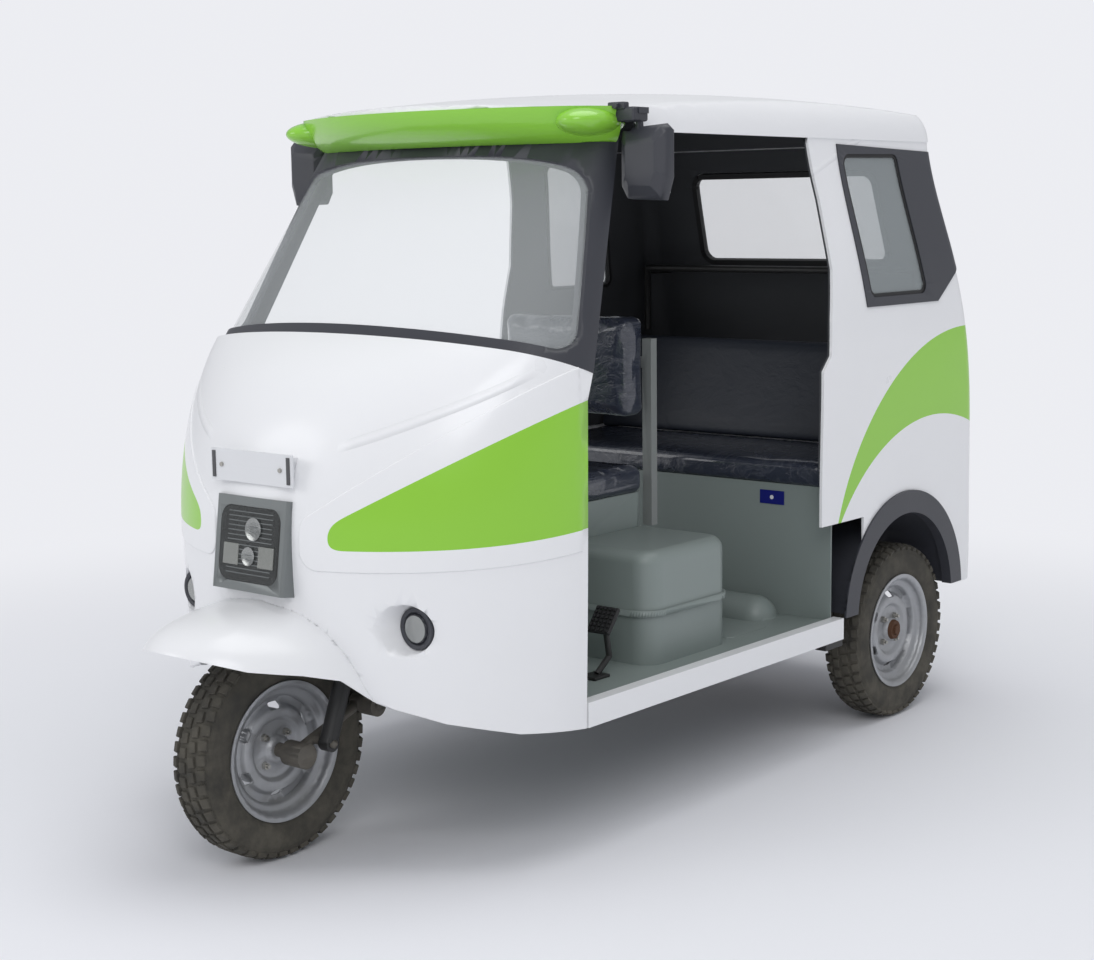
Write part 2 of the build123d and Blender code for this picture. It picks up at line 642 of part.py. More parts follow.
# Pedals on the floor, ahead of the seat
pedal = side_cut([(560, 400), (590, 470), (584, 473), (554, 403)], 0, 60, 150)
pedal += rod((105, 560, 405), (105, 585, floor_z + 4.2), 8)
keep("pedals", pedal)

# Steering: stem, handlebar, fork, link, strut
stem = rod(steer_point(fork_crown_z + fork_crown_t / 2), steer_point(handlebar_z), stem_r)
keep("steering_column", stem)
grip_y = steer_point(handlebar_z)[1]
bar = rod((-120, grip_y - 12, handlebar_z + 26), (120, grip_y - 12, handlebar_z + 26), handlebar_r)
bar += both(rod((120, grip_y - 12, handlebar_z + 26),
                (handlebar_half, grip_y + 70, handlebar_z + 26), handlebar_r)
            + Pos(120, grip_y - 12, handlebar_z + 26) * Sphere(handlebar_r))
clamp = Plane(origin=steer_point(handlebar_z), x_dir=(1, 0, 0), z_dir=rake) * (Pos(0, 0, 12) * Box(90, 60, 44))
clamp -= rod(steer_point(handlebar_z - 60), steer_point(handlebar_z), stem_r)
keep("handlebar", bar + clamp)
crown_mid = steer_point(fork_crown_z)
crown_plate = Plane(origin=crown_mid, x_dir=(1, 0, 0), z_dir=rake) * (
    Pos(fork_side_x / 2, 0, 0) * Box(fork_side_x + 70, 78, fork_crown_t))
fork_leg = rod((fork_side_x, crown_mid[1] + 14, fork_crown_z), link_pivot, fork_tube_r)
fork_eye = rod((link_pivot[0] - 24, *link_pivot[1:]), (link_pivot[0] + 24, *link_pivot[1:]), 26)
fork_bore = rod((60, *link_pivot[1:]), (180, *link_pivot[1:]), link_pin_r + pin_clear)
keep("fork", crown_plate + fork_leg + fork_eye - fork_bore)
link = rod((link_x, 0, tyre_r), (link_x, *link_pivot[1:]), 13)
link += rod((62, 0, tyre_r), (124, 0, tyre_r), 30)
link += rod((-46, 0, tyre_r), (66, 0, tyre_r), hub_bore_r - pin_clear)
link += rod((link_x - 16, *link_pivot[1:]), (link_x + 15, *link_pivot[1:]), 22)
link += rod((link_x, *link_pivot[1:]), (link_pivot[0] + 30, *link_pivot[1:]), link_pin_r)
strut_foot = (132.0, 60.0, tyre_r + 60 * (link_pivot[2] - tyre_r) / link_pivot[1])
link += rod((link_x, *strut_foot[1:]), (154, *strut_foot[1:]), strut_pin_r)
keep("front_link", link)
strut = rod(strut_foot, (132, 172, fork_crown_z - 10), 22)
strut += rod((118, *strut_foot[1:]), (148, *strut_foot[1:]), 20)
strut -= rod((60, *strut_foot[1:]), (190, *strut_foot[1:]), strut_pin_r + pin_clear)
strut -= rod((60, 0, tyre_r), (190, 0, tyre_r), 30 + trim_gap)
keep("front_strut", strut - crown_plate - fork_leg)


# Wheels: pressed steel rims with drums, and tyres
def wheel_rim():
    """A drop-centre rim with its pierced disc, hub and brake drum, outer face to +X."""
    w = rim_w / 2
    f, t = rim_flange_r, rim_wall
    barrel = make_face(Polyline(
        (-w, f), (4 - w, f), (6 - w, tyre_bead_r), (24 - w, tyre_bead_r - 3), (-20, 132), (20, 132),
        (w - 24, tyre_bead_r - 3), (w - 6, tyre_bead_r), (w - 4, f), (w, f), (w, f - 8),
        (w - 3, tyre_bead_r - t), (w - 21, tyre_bead_r - 3 - t), (23, 132 - t), (-23, 132 - t),
        (21 - w, tyre_bead_r - 3 - t), (3 - w, tyre_bead_r - t), (-w, f - 8), close=True))
    disc = make_face(Polyline(
        (8, 129), (8, 112), (24, 98), (24, 80), (12, 66), (12, 30), (6, 30), (6, 64), (18, 79),
        (18, 97), (3, 110), (3, 129), close=True))
    hub = make_face(Polyline((-46, hub_bore_r), (-46, 34), (28, 34), (28, hub_bore_r), close=True))
    drum = make_face(Polyline(
        (-50, drum_r), (6, drum_r), (6, 34), (0, 34), (0, drum_r - 7), (-50, drum_r - 7),
        close=True))
    axis = Axis((0, 0, 0), (1, 0, 0))
    shape = None
    for profile in (barrel, disc, hub, drum):
        piece = revolve(Plane.XZ * profile, axis, 360)
        shape = piece if shape is None else shape + piece
    hand_hole = Box(60, 34, 17)
    hand_hole = fillet(hand_hole.edges().filter_by(Axis.X), 8)
    for i in range(6):
        shape -= Rot(60 * i, 0, 0) * (Pos(26, 0, 105) * hand_hole)
    return shape


def wheel_tyre():
    """A tyre ring without tread, on the same axis as its rim."""
    h = tyre_w / 2
    bead = tyre_bead_r + trim_gap
    top = tyre_r
    profile = make_face([
        Line((-h + 9.4, bead), (h - 9.4, bead)),
        Line((h - 9.4, bead), (h - 6.8, rim_flange_r + 3)),
        ThreePointArc((h - 6.8, rim_flange_r + 3), (h, 208), (h - 9, 246)),
        ThreePointArc((h - 9, 246), (0, top), (9 - h, 246)),
        ThreePointArc((9 - h, 246), (-h, 208), (6.8 - h, rim_flange_r + 3)),
        Line((6.8 - h, rim_flange_r + 3), (9.4 - h, bead)),
    ])
    return revolve(Plane.XZ * profile, Axis((0, 0, 0), (1, 0, 0)), 360)


rim = wheel_rim()
tyre = wheel_tyre()
keep("front_rim", Pos(0, 0, tyre_r) * rim)
keep("front_tyre", Pos(0, 0, tyre_r) * tyre)
keep("rear_rim_left", Pos(wheel_x, wheelbase, tyre_r) * rim)
keep("rear_tyre_left", Pos(wheel_x, wheelbase, tyre_r) * tyre)
keep("rear_rim_right", Pos(-wheel_x, wheelbase, tyre_r) * Rot(0, 0, 180) * rim)
keep("rear_tyre_right", Pos(-wheel_x, wheelbase, tyre_r) * Rot(0, 0, 180) * tyre)

os.makedirs("parts", exist_ok=True)
for name, shape in nodes.items():
    placed = [Pos(0, -mid_y, 0) * solid for solid in shape.solids()]
    export_step(placed[0] if len(placed) == 1 else Compound(children=placed),
                f"parts/{name}.step")
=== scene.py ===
"""Looks of a three-wheeled auto rickshaw, built around its packed construction model.

The construction model carries every size, joint and mount. This script dresses it: smooth
painted shells, treaded tyres, lamps, wrapped seats, seals, fasteners and the studio.
"""

import json
import logging
import math
from dataclasses import dataclass
from enum import Enum
from typing import Callable, Iterable, Sequence

import bpy
from mathutils import Matrix, Vector

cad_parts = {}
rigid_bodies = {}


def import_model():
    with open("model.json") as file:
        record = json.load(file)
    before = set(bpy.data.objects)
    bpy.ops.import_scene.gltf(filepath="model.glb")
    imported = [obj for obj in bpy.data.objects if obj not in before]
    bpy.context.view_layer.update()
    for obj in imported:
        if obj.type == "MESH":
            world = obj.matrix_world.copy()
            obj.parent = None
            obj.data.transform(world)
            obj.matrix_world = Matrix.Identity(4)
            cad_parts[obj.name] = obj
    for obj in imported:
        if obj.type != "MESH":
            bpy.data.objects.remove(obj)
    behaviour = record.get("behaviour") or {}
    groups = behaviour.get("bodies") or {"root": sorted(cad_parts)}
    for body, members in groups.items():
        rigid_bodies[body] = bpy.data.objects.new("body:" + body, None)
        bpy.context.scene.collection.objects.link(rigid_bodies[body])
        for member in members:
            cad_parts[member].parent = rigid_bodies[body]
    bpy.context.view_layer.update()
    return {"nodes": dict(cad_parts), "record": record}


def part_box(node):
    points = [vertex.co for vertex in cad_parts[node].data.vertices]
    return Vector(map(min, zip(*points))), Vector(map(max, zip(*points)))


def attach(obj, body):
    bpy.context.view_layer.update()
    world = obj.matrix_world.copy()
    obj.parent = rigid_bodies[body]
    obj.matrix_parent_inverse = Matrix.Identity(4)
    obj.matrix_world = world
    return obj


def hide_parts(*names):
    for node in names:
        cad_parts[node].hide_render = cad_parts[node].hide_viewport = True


bpy.ops.object.select_all(action="SELECT")
bpy.ops.object.delete()
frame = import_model()
LOG = logging.getLogger("rickshaw")

Colour = tuple[float, float, float]
Feeds = dict[str | int, object]
Plane = tuple[float, float, float]
Point = Sequence[float]
Node = bpy.types.Node
Obj = bpy.types.Object
Outputs = bpy.types.NodeOutputs
Socket = bpy.types.NodeSocket

FORWARDS = Vector((0, -1, 0))
_rim_low, _rim_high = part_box("front_rim")
FRONT_AXLE_Y = (_rim_low[1] + _rim_high[1]) / 2
NODE_BODY = {name: body for body, names in frame["record"]["behaviour"]["bodies"].items()
             for name in names}


def at(x: float, y: float, z: float) -> Vector:
    """Turn millimetres, with y counted back from the front axle, into a frame point.

    Args:
        x: Distance to the vehicle's left.
        y: Distance behind the front axle.
        z: Height over the ground.

    Returns:
        The point in metres in the shared frame.
    """
    return Vector((x / 1000, FRONT_AXLE_Y + y / 1000, z / 1000))


class Side(Enum):
    """The two sides of the vehicle, by the sign of X."""

    LEFT = 1
    RIGHT = -1

    @property
    def label(self) -> str:
        """The side's word in the names of pieces."""
        return self.name.lower()


# Shader building blocks


@dataclass(frozen=True)
class Graph:
    """A node tree with short ways to add to it.

    Attributes:
        tree: The node tree.
    """

    tree: bpy.types.NodeTree

    def feed(self, target: Node, inputs: Feeds) -> None:
        """Link or set inputs of a node.

        Args:
            target: The node.
            inputs: Output sockets or plain values, by the input's name or number.
        """
        for key, value in inputs.items():
            if isinstance(value, Socket):
                self.tree.links.new(value, target.inputs[key])
            else:
                target.inputs[key].default_value = value

    def add(self, kind: str, inputs: Feeds | None = None, **settings: object) -> Outputs:
        """Add a shader node.

        Args:
            kind: The node's type name without its common start.
            inputs: What feeds its inputs.
            **settings: Its properties by name.

        Returns:
            The new node's outputs.
        """
        made = self.tree.nodes.new(f"ShaderNode{kind}")
        for key, value in settings.items():
            setattr(made, key, value)
        self.feed(made, inputs or {})
        return made.outputs

    def calc(self, operation: str, *operands: Socket | float, clamp: bool = False) -> Socket:
        """Add a math node.

        Args:
            operation: The math operation's name.
            *operands: Sockets or numbers.
            clamp: Whether the result is kept between 0 and 1.

        Returns:
            The result.
        """
        return self.add("Math", dict(enumerate(operands)), operation=operation,
                        use_clamp=clamp)[0]

    def mix(self, share: Socket, first: Socket | Colour, second: Colour) -> Socket:
        """Mix two colours.

        Args:
            share: The second colour's share.
            first: The first colour, as a socket or a value.
            second: The second colour.

        Returns:
            The mixed colour.
        """
        start = first if isinstance(first, Socket) else (*first, 1.0)
        return self.add("Mix", {0: share, 6: start, 7: (*second, 1.0)}, data_type="RGBA")[2]

    def point(self) -> Socket:
        """The Object coordinates of a shaded point."""
        return self.add("TexCoord")["Object"]

    def axes(self) -> Outputs:
        """The Object coordinates of a shaded point as X, Y and Z."""
        return self.add("SeparateXYZ", {"Vector": self.point()})

    def relief(self, shader: Node, height: Socket, depth: float, strength: float = 1.0) -> None:
        """Lay a relief over whatever bends a shader's normal already.

        Args:
            shader: The material's shader.
            height: The relief's height from 0 to 1.
            depth: The relief's depth in metres.
            strength: The relief's strength.
        """
        below = {"Normal": link.from_socket for link in shader.inputs["Normal"].links}
        bump = self.add("Bump", {"Height": height, "Distance": depth, "Strength": strength,
                                 **below})
        self.feed(shader, {"Normal": bump["Normal"]})


def new_group(name: str, inputs: dict[str, float],
              outputs: Iterable[str]) -> tuple[Graph, Outputs, Node]:
    """Start a node group with float sockets.

    Args:
        name: The group's name.
        inputs: Starting values by the input's name.
        outputs: The outputs' names.

    Returns:
        The group, the sockets that bring its inputs, and the node that takes its outputs.
    """
    tree = bpy.data.node_groups.new(name, "ShaderNodeTree")
    for way, labels in (("INPUT", inputs), ("OUTPUT", outputs)):
        for label in labels:
            tree.interface.new_socket(name=label, in_out=way, socket_type="NodeSocketFloat")
    for label, value in inputs.items():
        tree.interface.items_tree[label].default_value = value
    start = tree.nodes.new("NodeGroupInput")
    return Graph(tree), start.outputs, tree.nodes.new("NodeGroupOutput")


def build_grain_group() -> bpy.types.NodeTree:
    """A fine surface relief with a cloudy colour mask.

    Returns:
        The group, with Scale and Cloud in, and Height and Mask out.
    """
    graph, start, end = new_group("SurfaceGrain", {"Scale": 400.0, "Cloud": 6.0},
                                  ("Height", "Mask"))
    point = graph.point()
    fine = graph.add("TexNoise", {"Vector": point, "Scale": start["Scale"], "Detail": 3.0})
    cloud = graph.add("TexNoise", {"Vector": point, "Scale": start["Cloud"], "Detail": 4.0})
    graph.feed(end, {"Height": fine["Fac"], "Mask": cloud["Fac"]})
    return graph.tree


def build_dust_group() -> bpy.types.NodeTree:
    """A road dust mask that is thickest near the ground.

    Returns:
        The group, with Top, Amount and Scale in, and Mask out.
    """
    graph, start, end = new_group("RoadDust", {"Top": 0.6, "Amount": 0.5, "Scale": 14.0},
                                  ("Mask",))
    noise = graph.add("TexNoise", {"Vector": graph.point(), "Scale": start["Scale"],
                                   "Detail": 6.0, "Roughness": 0.65})
    low = graph.calc("DIVIDE", graph.axes()["Z"], start["Top"])
    fade = graph.calc("SUBTRACT", 1.0, low, clamp=True)
    speck = graph.calc("MULTIPLY_ADD", noise["Fac"], 2.2, -0.55, clamp=True)
    both = graph.calc("MULTIPLY", fade, speck)
    graph.feed(end, {"Mask": graph.calc("MULTIPLY", both, start["Amount"], clamp=True)})
    return graph.tree


def build_wrinkle_group() -> bpy.types.NodeTree:
    """Long taut folds, as clear film drawn over a seat, with a mask of their crests for a painted
    glint.

    Returns:
        The group, with Scale in, and Height and Mask out.
    """
    graph, start, end = new_group("FilmWrinkle", {"Scale": 14.0}, ("Height", "Mask"))
    stretch = graph.add("Mapping", {"Vector": graph.point(), "Rotation": (0.2, 0.35, 0.5),
                                    "Scale": (1.0, 0.35, 1.6)})["Vector"]
    warp = graph.add("TexNoise", {"Vector": stretch, "Scale": 5.0})
    bent = graph.add("VectorMath", {0: warp["Color"], 1: (0.25, 0.25, 0.25), 2: stretch},
                     operation="MULTIPLY_ADD")
    folds = graph.add("TexNoise", {"Vector": bent[0], "Scale": start["Scale"], "Detail": 5.0,
                                   "Roughness": 0.6})
    ridge = graph.calc("ABSOLUTE", graph.calc("SUBTRACT", folds["Fac"], 0.5))
    # Mask: narrow lines on the fold crests, where the vinyl paints its glint.
    graph.feed(end, {"Height": graph.calc("MULTIPLY", ridge, -4.0),
                     "Mask": graph.calc("MULTIPLY_ADD", ridge, -34.0, 1.0, clamp=True)})
    return graph.tree


GRAIN = build_grain_group()
DUST = build_dust_group()
WRINKLE = build_wrinkle_group()


@dataclass(frozen=True)
class Finish:
    """One finish: a base colour with grain, cloudiness and dust.

    Attributes:
        name: The material's name.
        slot: The record's material slot; not used.
        colour: Linear base colour.
        rough: Roughness.
        metal: Metallic.
        grain: Scale of the fine relief, per metre.
        relief: Depth of the fine relief, in metres.
        cloud: Strength of the cloudy colour change.
        dust: Amount of road dust.
        dust_top: Height at which the dust ends.
        coat: Clear coat weight.
        coat_rough: Roughness of the clear coat.
        dust_colour: Linear colour of the dust.
    """

    name: str
    slot: str
    colour: Colour
    rough: float = 0.5
    metal: float = 0.0
    grain: float = 700.0
    relief: float = 0.00005
    cloud: float = 0.08
    dust: float = 0.0
    dust_top: float = 0.6
    coat: float = 0.0
    coat_rough: float = 0.05
    dust_colour: Colour = (0.30, 0.27, 0.22)

    def base_colour(self, graph: Graph) -> Socket:
        """The finish's base colour before clouds and dust.

        Args:
            graph: The material's graph.

        Returns:
            A colour socket.
        """
        colour = graph.add("RGB")[0]
        colour.default_value = (*self.colour, 1.0)
        return colour

    def build(self) -> bpy.types.Material:
        """Make the material, once.

        Returns:
            The node material.
        """
        known = bpy.data.materials.get(self.name)
        if known:
            return known
        material = bpy.data.materials.new(self.name)
        material.use_nodes = True
        graph = Graph(material.node_tree)
        shader = graph.tree.nodes["Principled BSDF"]
        grain = graph.add("Group", {"Scale": self.grain}, node_tree=GRAIN)
        shade = graph.calc("MULTIPLY_ADD", grain["Mask"], 2 * self.cloud, 1.0 - self.cloud)
        colour = graph.add("VectorMath", {0: self.base_colour(graph), "Scale": shade},
                           operation="SCALE")[0]
        rough = graph.calc("MULTIPLY_ADD", grain["Mask"], 0.12, self.rough - 0.06, clamp=True)
        if self.dust:
            dust = graph.add("Group", {"Top": self.dust_top, "Amount": self.dust},
                             node_tree=DUST)["Mask"]
            colour = graph.mix(dust, colour, self.dust_colour)
            rough = graph.calc("MULTIPLY_ADD", dust, 0.5, rough, clamp=True)
        graph.feed(shader, {"Base Color": colour, "Roughness": rough, "Metallic": self.metal,
                            "Coat Weight": self.coat, "Coat Roughness": self.coat_rough})
        graph.relief(shader, grain["Height"], self.relief)
        self.extra(graph, shader)
        return material

    def extra(self, graph: Graph, shader: Node) -> None:
        """Add what this finish has beyond a plain one.

        Args:
            graph: The material's graph.
            shader: The material's shader.
        """


def plane_height(graph: Graph, axes: Outputs, plane: Plane) -> Socket:
    """Height over an oblique plane that leans with the distance from the middle and back.

    Args:
        graph: The material's graph.
        axes: Object coordinates.
        plane: Its height at the front axle's middle in metres, its rise per metre away from
            the middle, and its rise per metre backwards.

    Returns:
        A socket with Z minus the plane.
    """
    base, per_x, per_y = plane
    away = graph.calc("ABSOLUTE", axes["X"])
    back = graph.calc("SUBTRACT", axes["Y"], FRONT_AXLE_Y)
    lean = graph.calc("MULTIPLY_ADD", away, per_x, base)
    return graph.calc("SUBTRACT", axes["Z"], graph.calc("MULTIPLY_ADD", back, per_y, lean))


@dataclass(frozen=True)
class StripedPaint(Finish):
    """White shell paint with the green cheek and flank stripes and the cheek's pressed fold.

    Attributes:
        cheek_top: The plane that bounds the cheek stripe above.
        cheek_floor: The plane that bounds it below.
        cheek_tip: Distance of its front tip from the middle.
        nose_end: The cheek stripe lies ahead of this y, the flank stripe behind it.
        flank_outer: The flank stripe's outer circle, as y, z and radius.
        flank_inner: Its inner circle.
        fold: The plane of the fold, which lies between two distances from the middle.
    """

    stripe: Colour = (0.275, 0.61, 0.038)
    cheek_top: Plane = (0.7085, 0.475, 0.181)
    cheek_floor: Plane = (0.7578, -0.0096, 0.0636)
    cheek_tip: float = 0.216
    nose_end: float = 0.6
    flank_start: float = 1.2
    flank_outer: tuple[float, float, float] = (2.294, 0.365, 0.782)
    flank_inner: tuple[float, float, float] = (2.101, 0.227, 0.667)
    fold: Plane = (0.937, 0.150, 0.384)
    fold_ends: tuple[float, float] = (0.215, 0.56)
    fold_half: float = 0.011
    fold_depth: float = 0.004

    def cheek(self, graph: Graph, axes: Outputs) -> Socket:
        """The cheek stripe's signed distance, which is below zero inside."""
        over = graph.calc("MULTIPLY", plane_height(graph, axes, self.cheek_top), 0.9)
        under = graph.calc("MULTIPLY", plane_height(graph, axes, self.cheek_floor), -1.0)
        tip = graph.calc("SUBTRACT", self.cheek_tip, graph.calc("ABSOLUTE", axes["X"]))
        edge = graph.calc("SMOOTH_MAX", over, under, 0.03)
        return graph.calc("SMOOTH_MAX", edge, tip, 0.05)

    def flank(self, graph: Graph, axes: Outputs) -> Socket:
        """The flank stripe's signed distance, which is below zero inside."""
        sides = []
        for y, z, radius in (self.flank_outer, self.flank_inner):
            dy = graph.calc("SUBTRACT", axes["Y"], FRONT_AXLE_Y + y)
            dz = graph.calc("SUBTRACT", axes["Z"], z)
            squares = graph.calc("MULTIPLY_ADD", dz, dz, graph.calc("MULTIPLY", dy, dy))
            sides.append(graph.calc("SUBTRACT", graph.calc("SQRT", squares), radius))
        ring = graph.calc("MAXIMUM", sides[0], graph.calc("MULTIPLY", sides[1], -1.0))
        ahead = graph.calc("SUBTRACT", FRONT_AXLE_Y + self.flank_start, axes["Y"])
        return graph.calc("MAXIMUM", ring, ahead)

    def extra(self, graph: Graph, shader: Node) -> None:
        """Add the short pressed fold above the cheek's raised field."""
        axes = graph.axes()
        far = graph.calc("DIVIDE", plane_height(graph, axes, self.fold), self.fold_half)
        height = graph.calc("SUBTRACT", 1.0, graph.calc("MULTIPLY", far, far), clamp=True)
        away = graph.calc("ABSOLUTE", axes["X"])
        first, last = self.fold_ends
        for inside in (graph.calc("SUBTRACT", away, first), graph.calc("SUBTRACT", last, away)):
            inside = graph.calc("MULTIPLY", inside, 30.0, clamp=True)
            height = graph.calc("MULTIPLY", height, inside)
        graph.relief(shader, height, self.fold_depth)

    def base_colour(self, graph: Graph) -> Socket:
        """White, or green inside either stripe."""
        axes = graph.axes()
        nose = graph.calc("LESS_THAN", axes["Y"], FRONT_AXLE_Y + self.nose_end)
        cheek = graph.calc("LESS_THAN", self.cheek(graph, axes), 0.0)
        flank = graph.calc("LESS_THAN", self.flank(graph, axes), 0.0)
        front = graph.calc("MULTIPLY", nose, cheek)
        back = graph.calc("MULTIPLY", graph.calc("SUBTRACT", 1.0, nose), flank)
        return graph.mix(graph.calc("MAXIMUM", front, back), self.colour, self.stripe)


@dataclass(frozen=True)
class WrappedVinyl(Finish):
    """Dark seat vinyl under tight clear film, with a painted glint along the film's fold crests.
    """

    film_scale: float = 7.0
    film_relief: float = 0.006
    # Colour of the painted glint, mixed in along the fold crests as a highlight.
    glint: Colour = (0.20, 0.21, 0.24)

    def extra(self, graph: Graph, shader: Node) -> None:
        """Add the film's folds to the normal, and paint a lighter glint on their crests into the
        colour.
        """
        film = graph.add("Group", {"Scale": self.film_scale}, node_tree=WRINKLE)
        graph.relief(shader, film["Height"], self.film_relief, 0.8)
        source = shader.inputs["Base Color"].links[0].from_socket
        # Painted highlight: a lighter colour mixed into the base colour along the fold crests.
        painted_glint_share = graph.calc("MULTIPLY", film["Mask"], 0.16)
        graph.feed(shader, {"Base Color": graph.mix(painted_glint_share, source, self.glint)})


@dataclass(frozen=True)
class Pane(Finish):
    """Thin clear glazing that lets the light through."""

    alpha: float = 0.2

    def extra(self, graph: Graph, shader: Node) -> None:
        """Let most of the light pass."""
        graph.feed(shader, {"Alpha": self.alpha, "Specular IOR Level": 0.6})


@dataclass(frozen=True)
class RibbedLens(Finish):
    """A moulded lamp lens with fine vertical flutes."""

    pitch: float = 260.0 / 3
    depth: float = 0.0006

    def extra(self, graph: Graph, shader: Node) -> None:
        """Put flutes in the place of the fine relief."""
        wave = graph.add("TexWave", {"Vector": graph.point(), "Scale": self.pitch})
        bump = graph.add("Bump", {"Height": wave["Fac"], "Distance": self.depth})
        graph.feed(shader, {"Normal": bump["Normal"]})


class Palette:
    """Every finish on the vehicle."""

    gloss = {"colour": (0.84, 0.845, 0.86), "rough": 0.30, "grain": 60.0, "relief": 0.00012,
             "cloud": 0.012, "coat": 0.25, "coat_rough": 0.12}
    shell = StripedPaint("shell_white", "body_white", **gloss)
    white = Finish("moulding_white", "body_white", **gloss)
    green = Finish("visor_green", "accent_green", (0.26, 0.60, 0.05), rough=0.25,
                   grain=80.0, relief=0.0001, cloud=0.03, coat=0.4)
    charcoal = Finish("charcoal_moulding", "trim_black", (0.040, 0.042, 0.052), rough=0.42,
                      grain=1200.0, relief=0.00015, cloud=0.06)
    grey = Finish("grey_moulding", "grey_moulding", (0.225, 0.262, 0.250), rough=0.34,
                  grain=90.0, relief=0.0003, cloud=0.05, coat=0.25, coat_rough=0.2)
    lining = Finish("cab_lining", "lining", (0.055, 0.058, 0.064), rough=0.75,
                    grain=1500.0, relief=0.0003, cloud=0.1)
    # Both vinyl finishes paint a lighter glint colour along the film's fold crests.
    vinyl = WrappedVinyl("wrapped_vinyl", "seat_vinyl", (0.030, 0.036, 0.056), rough=0.28,
                         grain=900.0, relief=0.0001, coat=0.9)
    back_vinyl = WrappedVinyl("bench_back_vinyl", "seat_vinyl", (0.022, 0.027, 0.040),
                              rough=0.5, grain=900.0, relief=0.0002, film_relief=0.0012,
                              glint=(0.035, 0.04, 0.05))
    pane = Pane("clear_pane", "clear_glass", (0.80, 0.84, 0.85), rough=0.06, grain=3.0,
                relief=0.00001, cloud=0.02, alpha=0.18)
    side_pane = Pane("side_pane", "clear_glass", (0.42, 0.46, 0.47), rough=0.06, grain=3.0,
                     relief=0.00001, cloud=0.02, alpha=0.45)
    frame_black = Finish("frame_black", "frame_black", (0.022, 0.022, 0.024), cloud=0.15,
                         dust=0.5, dust_top=0.9)
    steel = Finish("dusty_steel", "grey_steel", (0.085, 0.080, 0.072), rough=0.55, metal=0.3,
                   grain=300.0, relief=0.0002, cloud=0.25, dust=0.6, dust_top=1.0)
    post = Finish("seat_post_grey", "grey_steel", (0.25, 0.265, 0.26), rough=0.4, cloud=0.05)
    silver = Finish("wheel_silver", "rim_silver", (0.40, 0.41, 0.43), rough=0.34, metal=0.55,
                    grain=500.0, relief=0.00008, cloud=0.10, dust=0.45, dust_top=0.62,
                    dust_colour=(0.25, 0.24, 0.21))
    bolt = Finish("zinc_bolt", "rim_silver", (0.42, 0.41, 0.38), rough=0.35, metal=0.9,
                  cloud=0.2)
    rusty = Finish("rusty_hub", "grey_steel", (0.10, 0.045, 0.022), rough=0.75, metal=0.2,
                   grain=250.0, relief=0.0006, cloud=0.45)
    tyre = Finish("tyre_rubber", "tyre", (0.030, 0.029, 0.026), rough=0.82, grain=500.0,
                  relief=0.0004, cloud=0.2, dust=1.0, dust_top=1.5,
                  dust_colour=(0.120, 0.110, 0.088))
    bezel = Finish("lamp_bezel_grey", "chrome_trim", (0.20, 0.215, 0.215), rough=0.38,
                   metal=0.5, grain=400.0, relief=0.0001, cloud=0.06)
    reflector = Finish("reflector", "lamp", (0.42, 0.43, 0.42), rough=0.18, metal=1.0,
                       grain=40.0, relief=0.0004, cloud=0.03)
    flutes = RibbedLens("lamp_flutes", "lamp", (0.42, 0.43, 0.40), rough=0.2, metal=0.7)
    lamp_dark = Finish("lamp_chamber", "lamp", (0.035, 0.037, 0.036), rough=0.25, metal=0.4,
                       cloud=0.2)
    lamp_lens = Pane("lamp_lens", "lamp", (0.14, 0.15, 0.15), rough=0.05, grain=5.0,
                     relief=0.00002, cloud=0.02, alpha=0.08)
    red_lens = RibbedLens("tail_lens_red", "tail_red", (0.42, 0.010, 0.012), rough=0.15,
                          coat=0.8)
    plate = Finish("plate_blank", "plate_white", (0.72, 0.73, 0.75), rough=0.35, cloud=0.02)
    plate_end = Finish("plate_bracket_dark", "plate_white", (0.07, 0.07, 0.075), rough=0.4)
    mirror = Finish("mirror_glass", "chrome_trim", (0.80, 0.82, 0.84), rough=0.02, metal=1.0,
                    grain=2.0, relief=0.00001, cloud=0.01)
    blue = Finish("blank_blue_tag", "plate_white", (0.006, 0.010, 0.170), rough=0.35)
    rubber = Finish("seal_rubber", "trim_black", (0.014, 0.014, 0.015), rough=0.6)
    battery = Finish("battery_black", "battery", (0.02, 0.02, 0.022), rough=0.55)


# Modelling helpers


def activate(obj: Obj) -> None:
    """Select one object alone and make it active."""
    bpy.ops.object.select_all(action="DESELECT")
    obj.select_set(True)
    bpy.context.view_layer.objects.active = obj


def apply_modifiers(obj: Obj) -> None:
    """Apply every modifier of an object, in order."""
    activate(obj)
    for modifier in list(obj.modifiers):
        bpy.ops.object.modifier_apply(modifier=modifier.name)


def modify(obj: Obj, kind: str, **settings: object) -> None:
    """Add a modifier to an object and apply it.

    Args:
        obj: The object.
        kind: The modifier's type.
        **settings: Its properties by name.
    """
    modifier = obj.modifiers.new(kind.lower(), kind)
    for key, value in settings.items():
        setattr(modifier, key, value)
    apply_modifiers(obj)


def bevel(obj: Obj, width: float, segments: int = 3) -> None:
    """Round an object's sharp edges.

    Args:
        obj: The object, at its final size.
        width: Width of the round in metres.
        segments: Facets across the round.
    """
    modify(obj, "BEVEL", width=width, segments=segments, limit_method="ANGLE",
           angle_limit=math.radians(40))


def mode(name: str) -> None:
    """Switch the active object to another mode."""
    bpy.ops.object.mode_set(mode=name)


def pick_faces(obj: Obj, wanted: Callable[[bpy.types.MeshPolygon], bool]) -> None:
    """Open an object's mesh with some of its faces selected.

    Args:
        obj: The object.
        wanted: Tells which faces to select.
    """
    activate(obj)
    mode("EDIT")
    bpy.ops.mesh.select_mode(type="FACE")
    bpy.ops.mesh.select_all(action="DESELECT")
    mode("OBJECT")
    for face in obj.data.polygons:
        face.select = wanted(face)
    mode("EDIT")


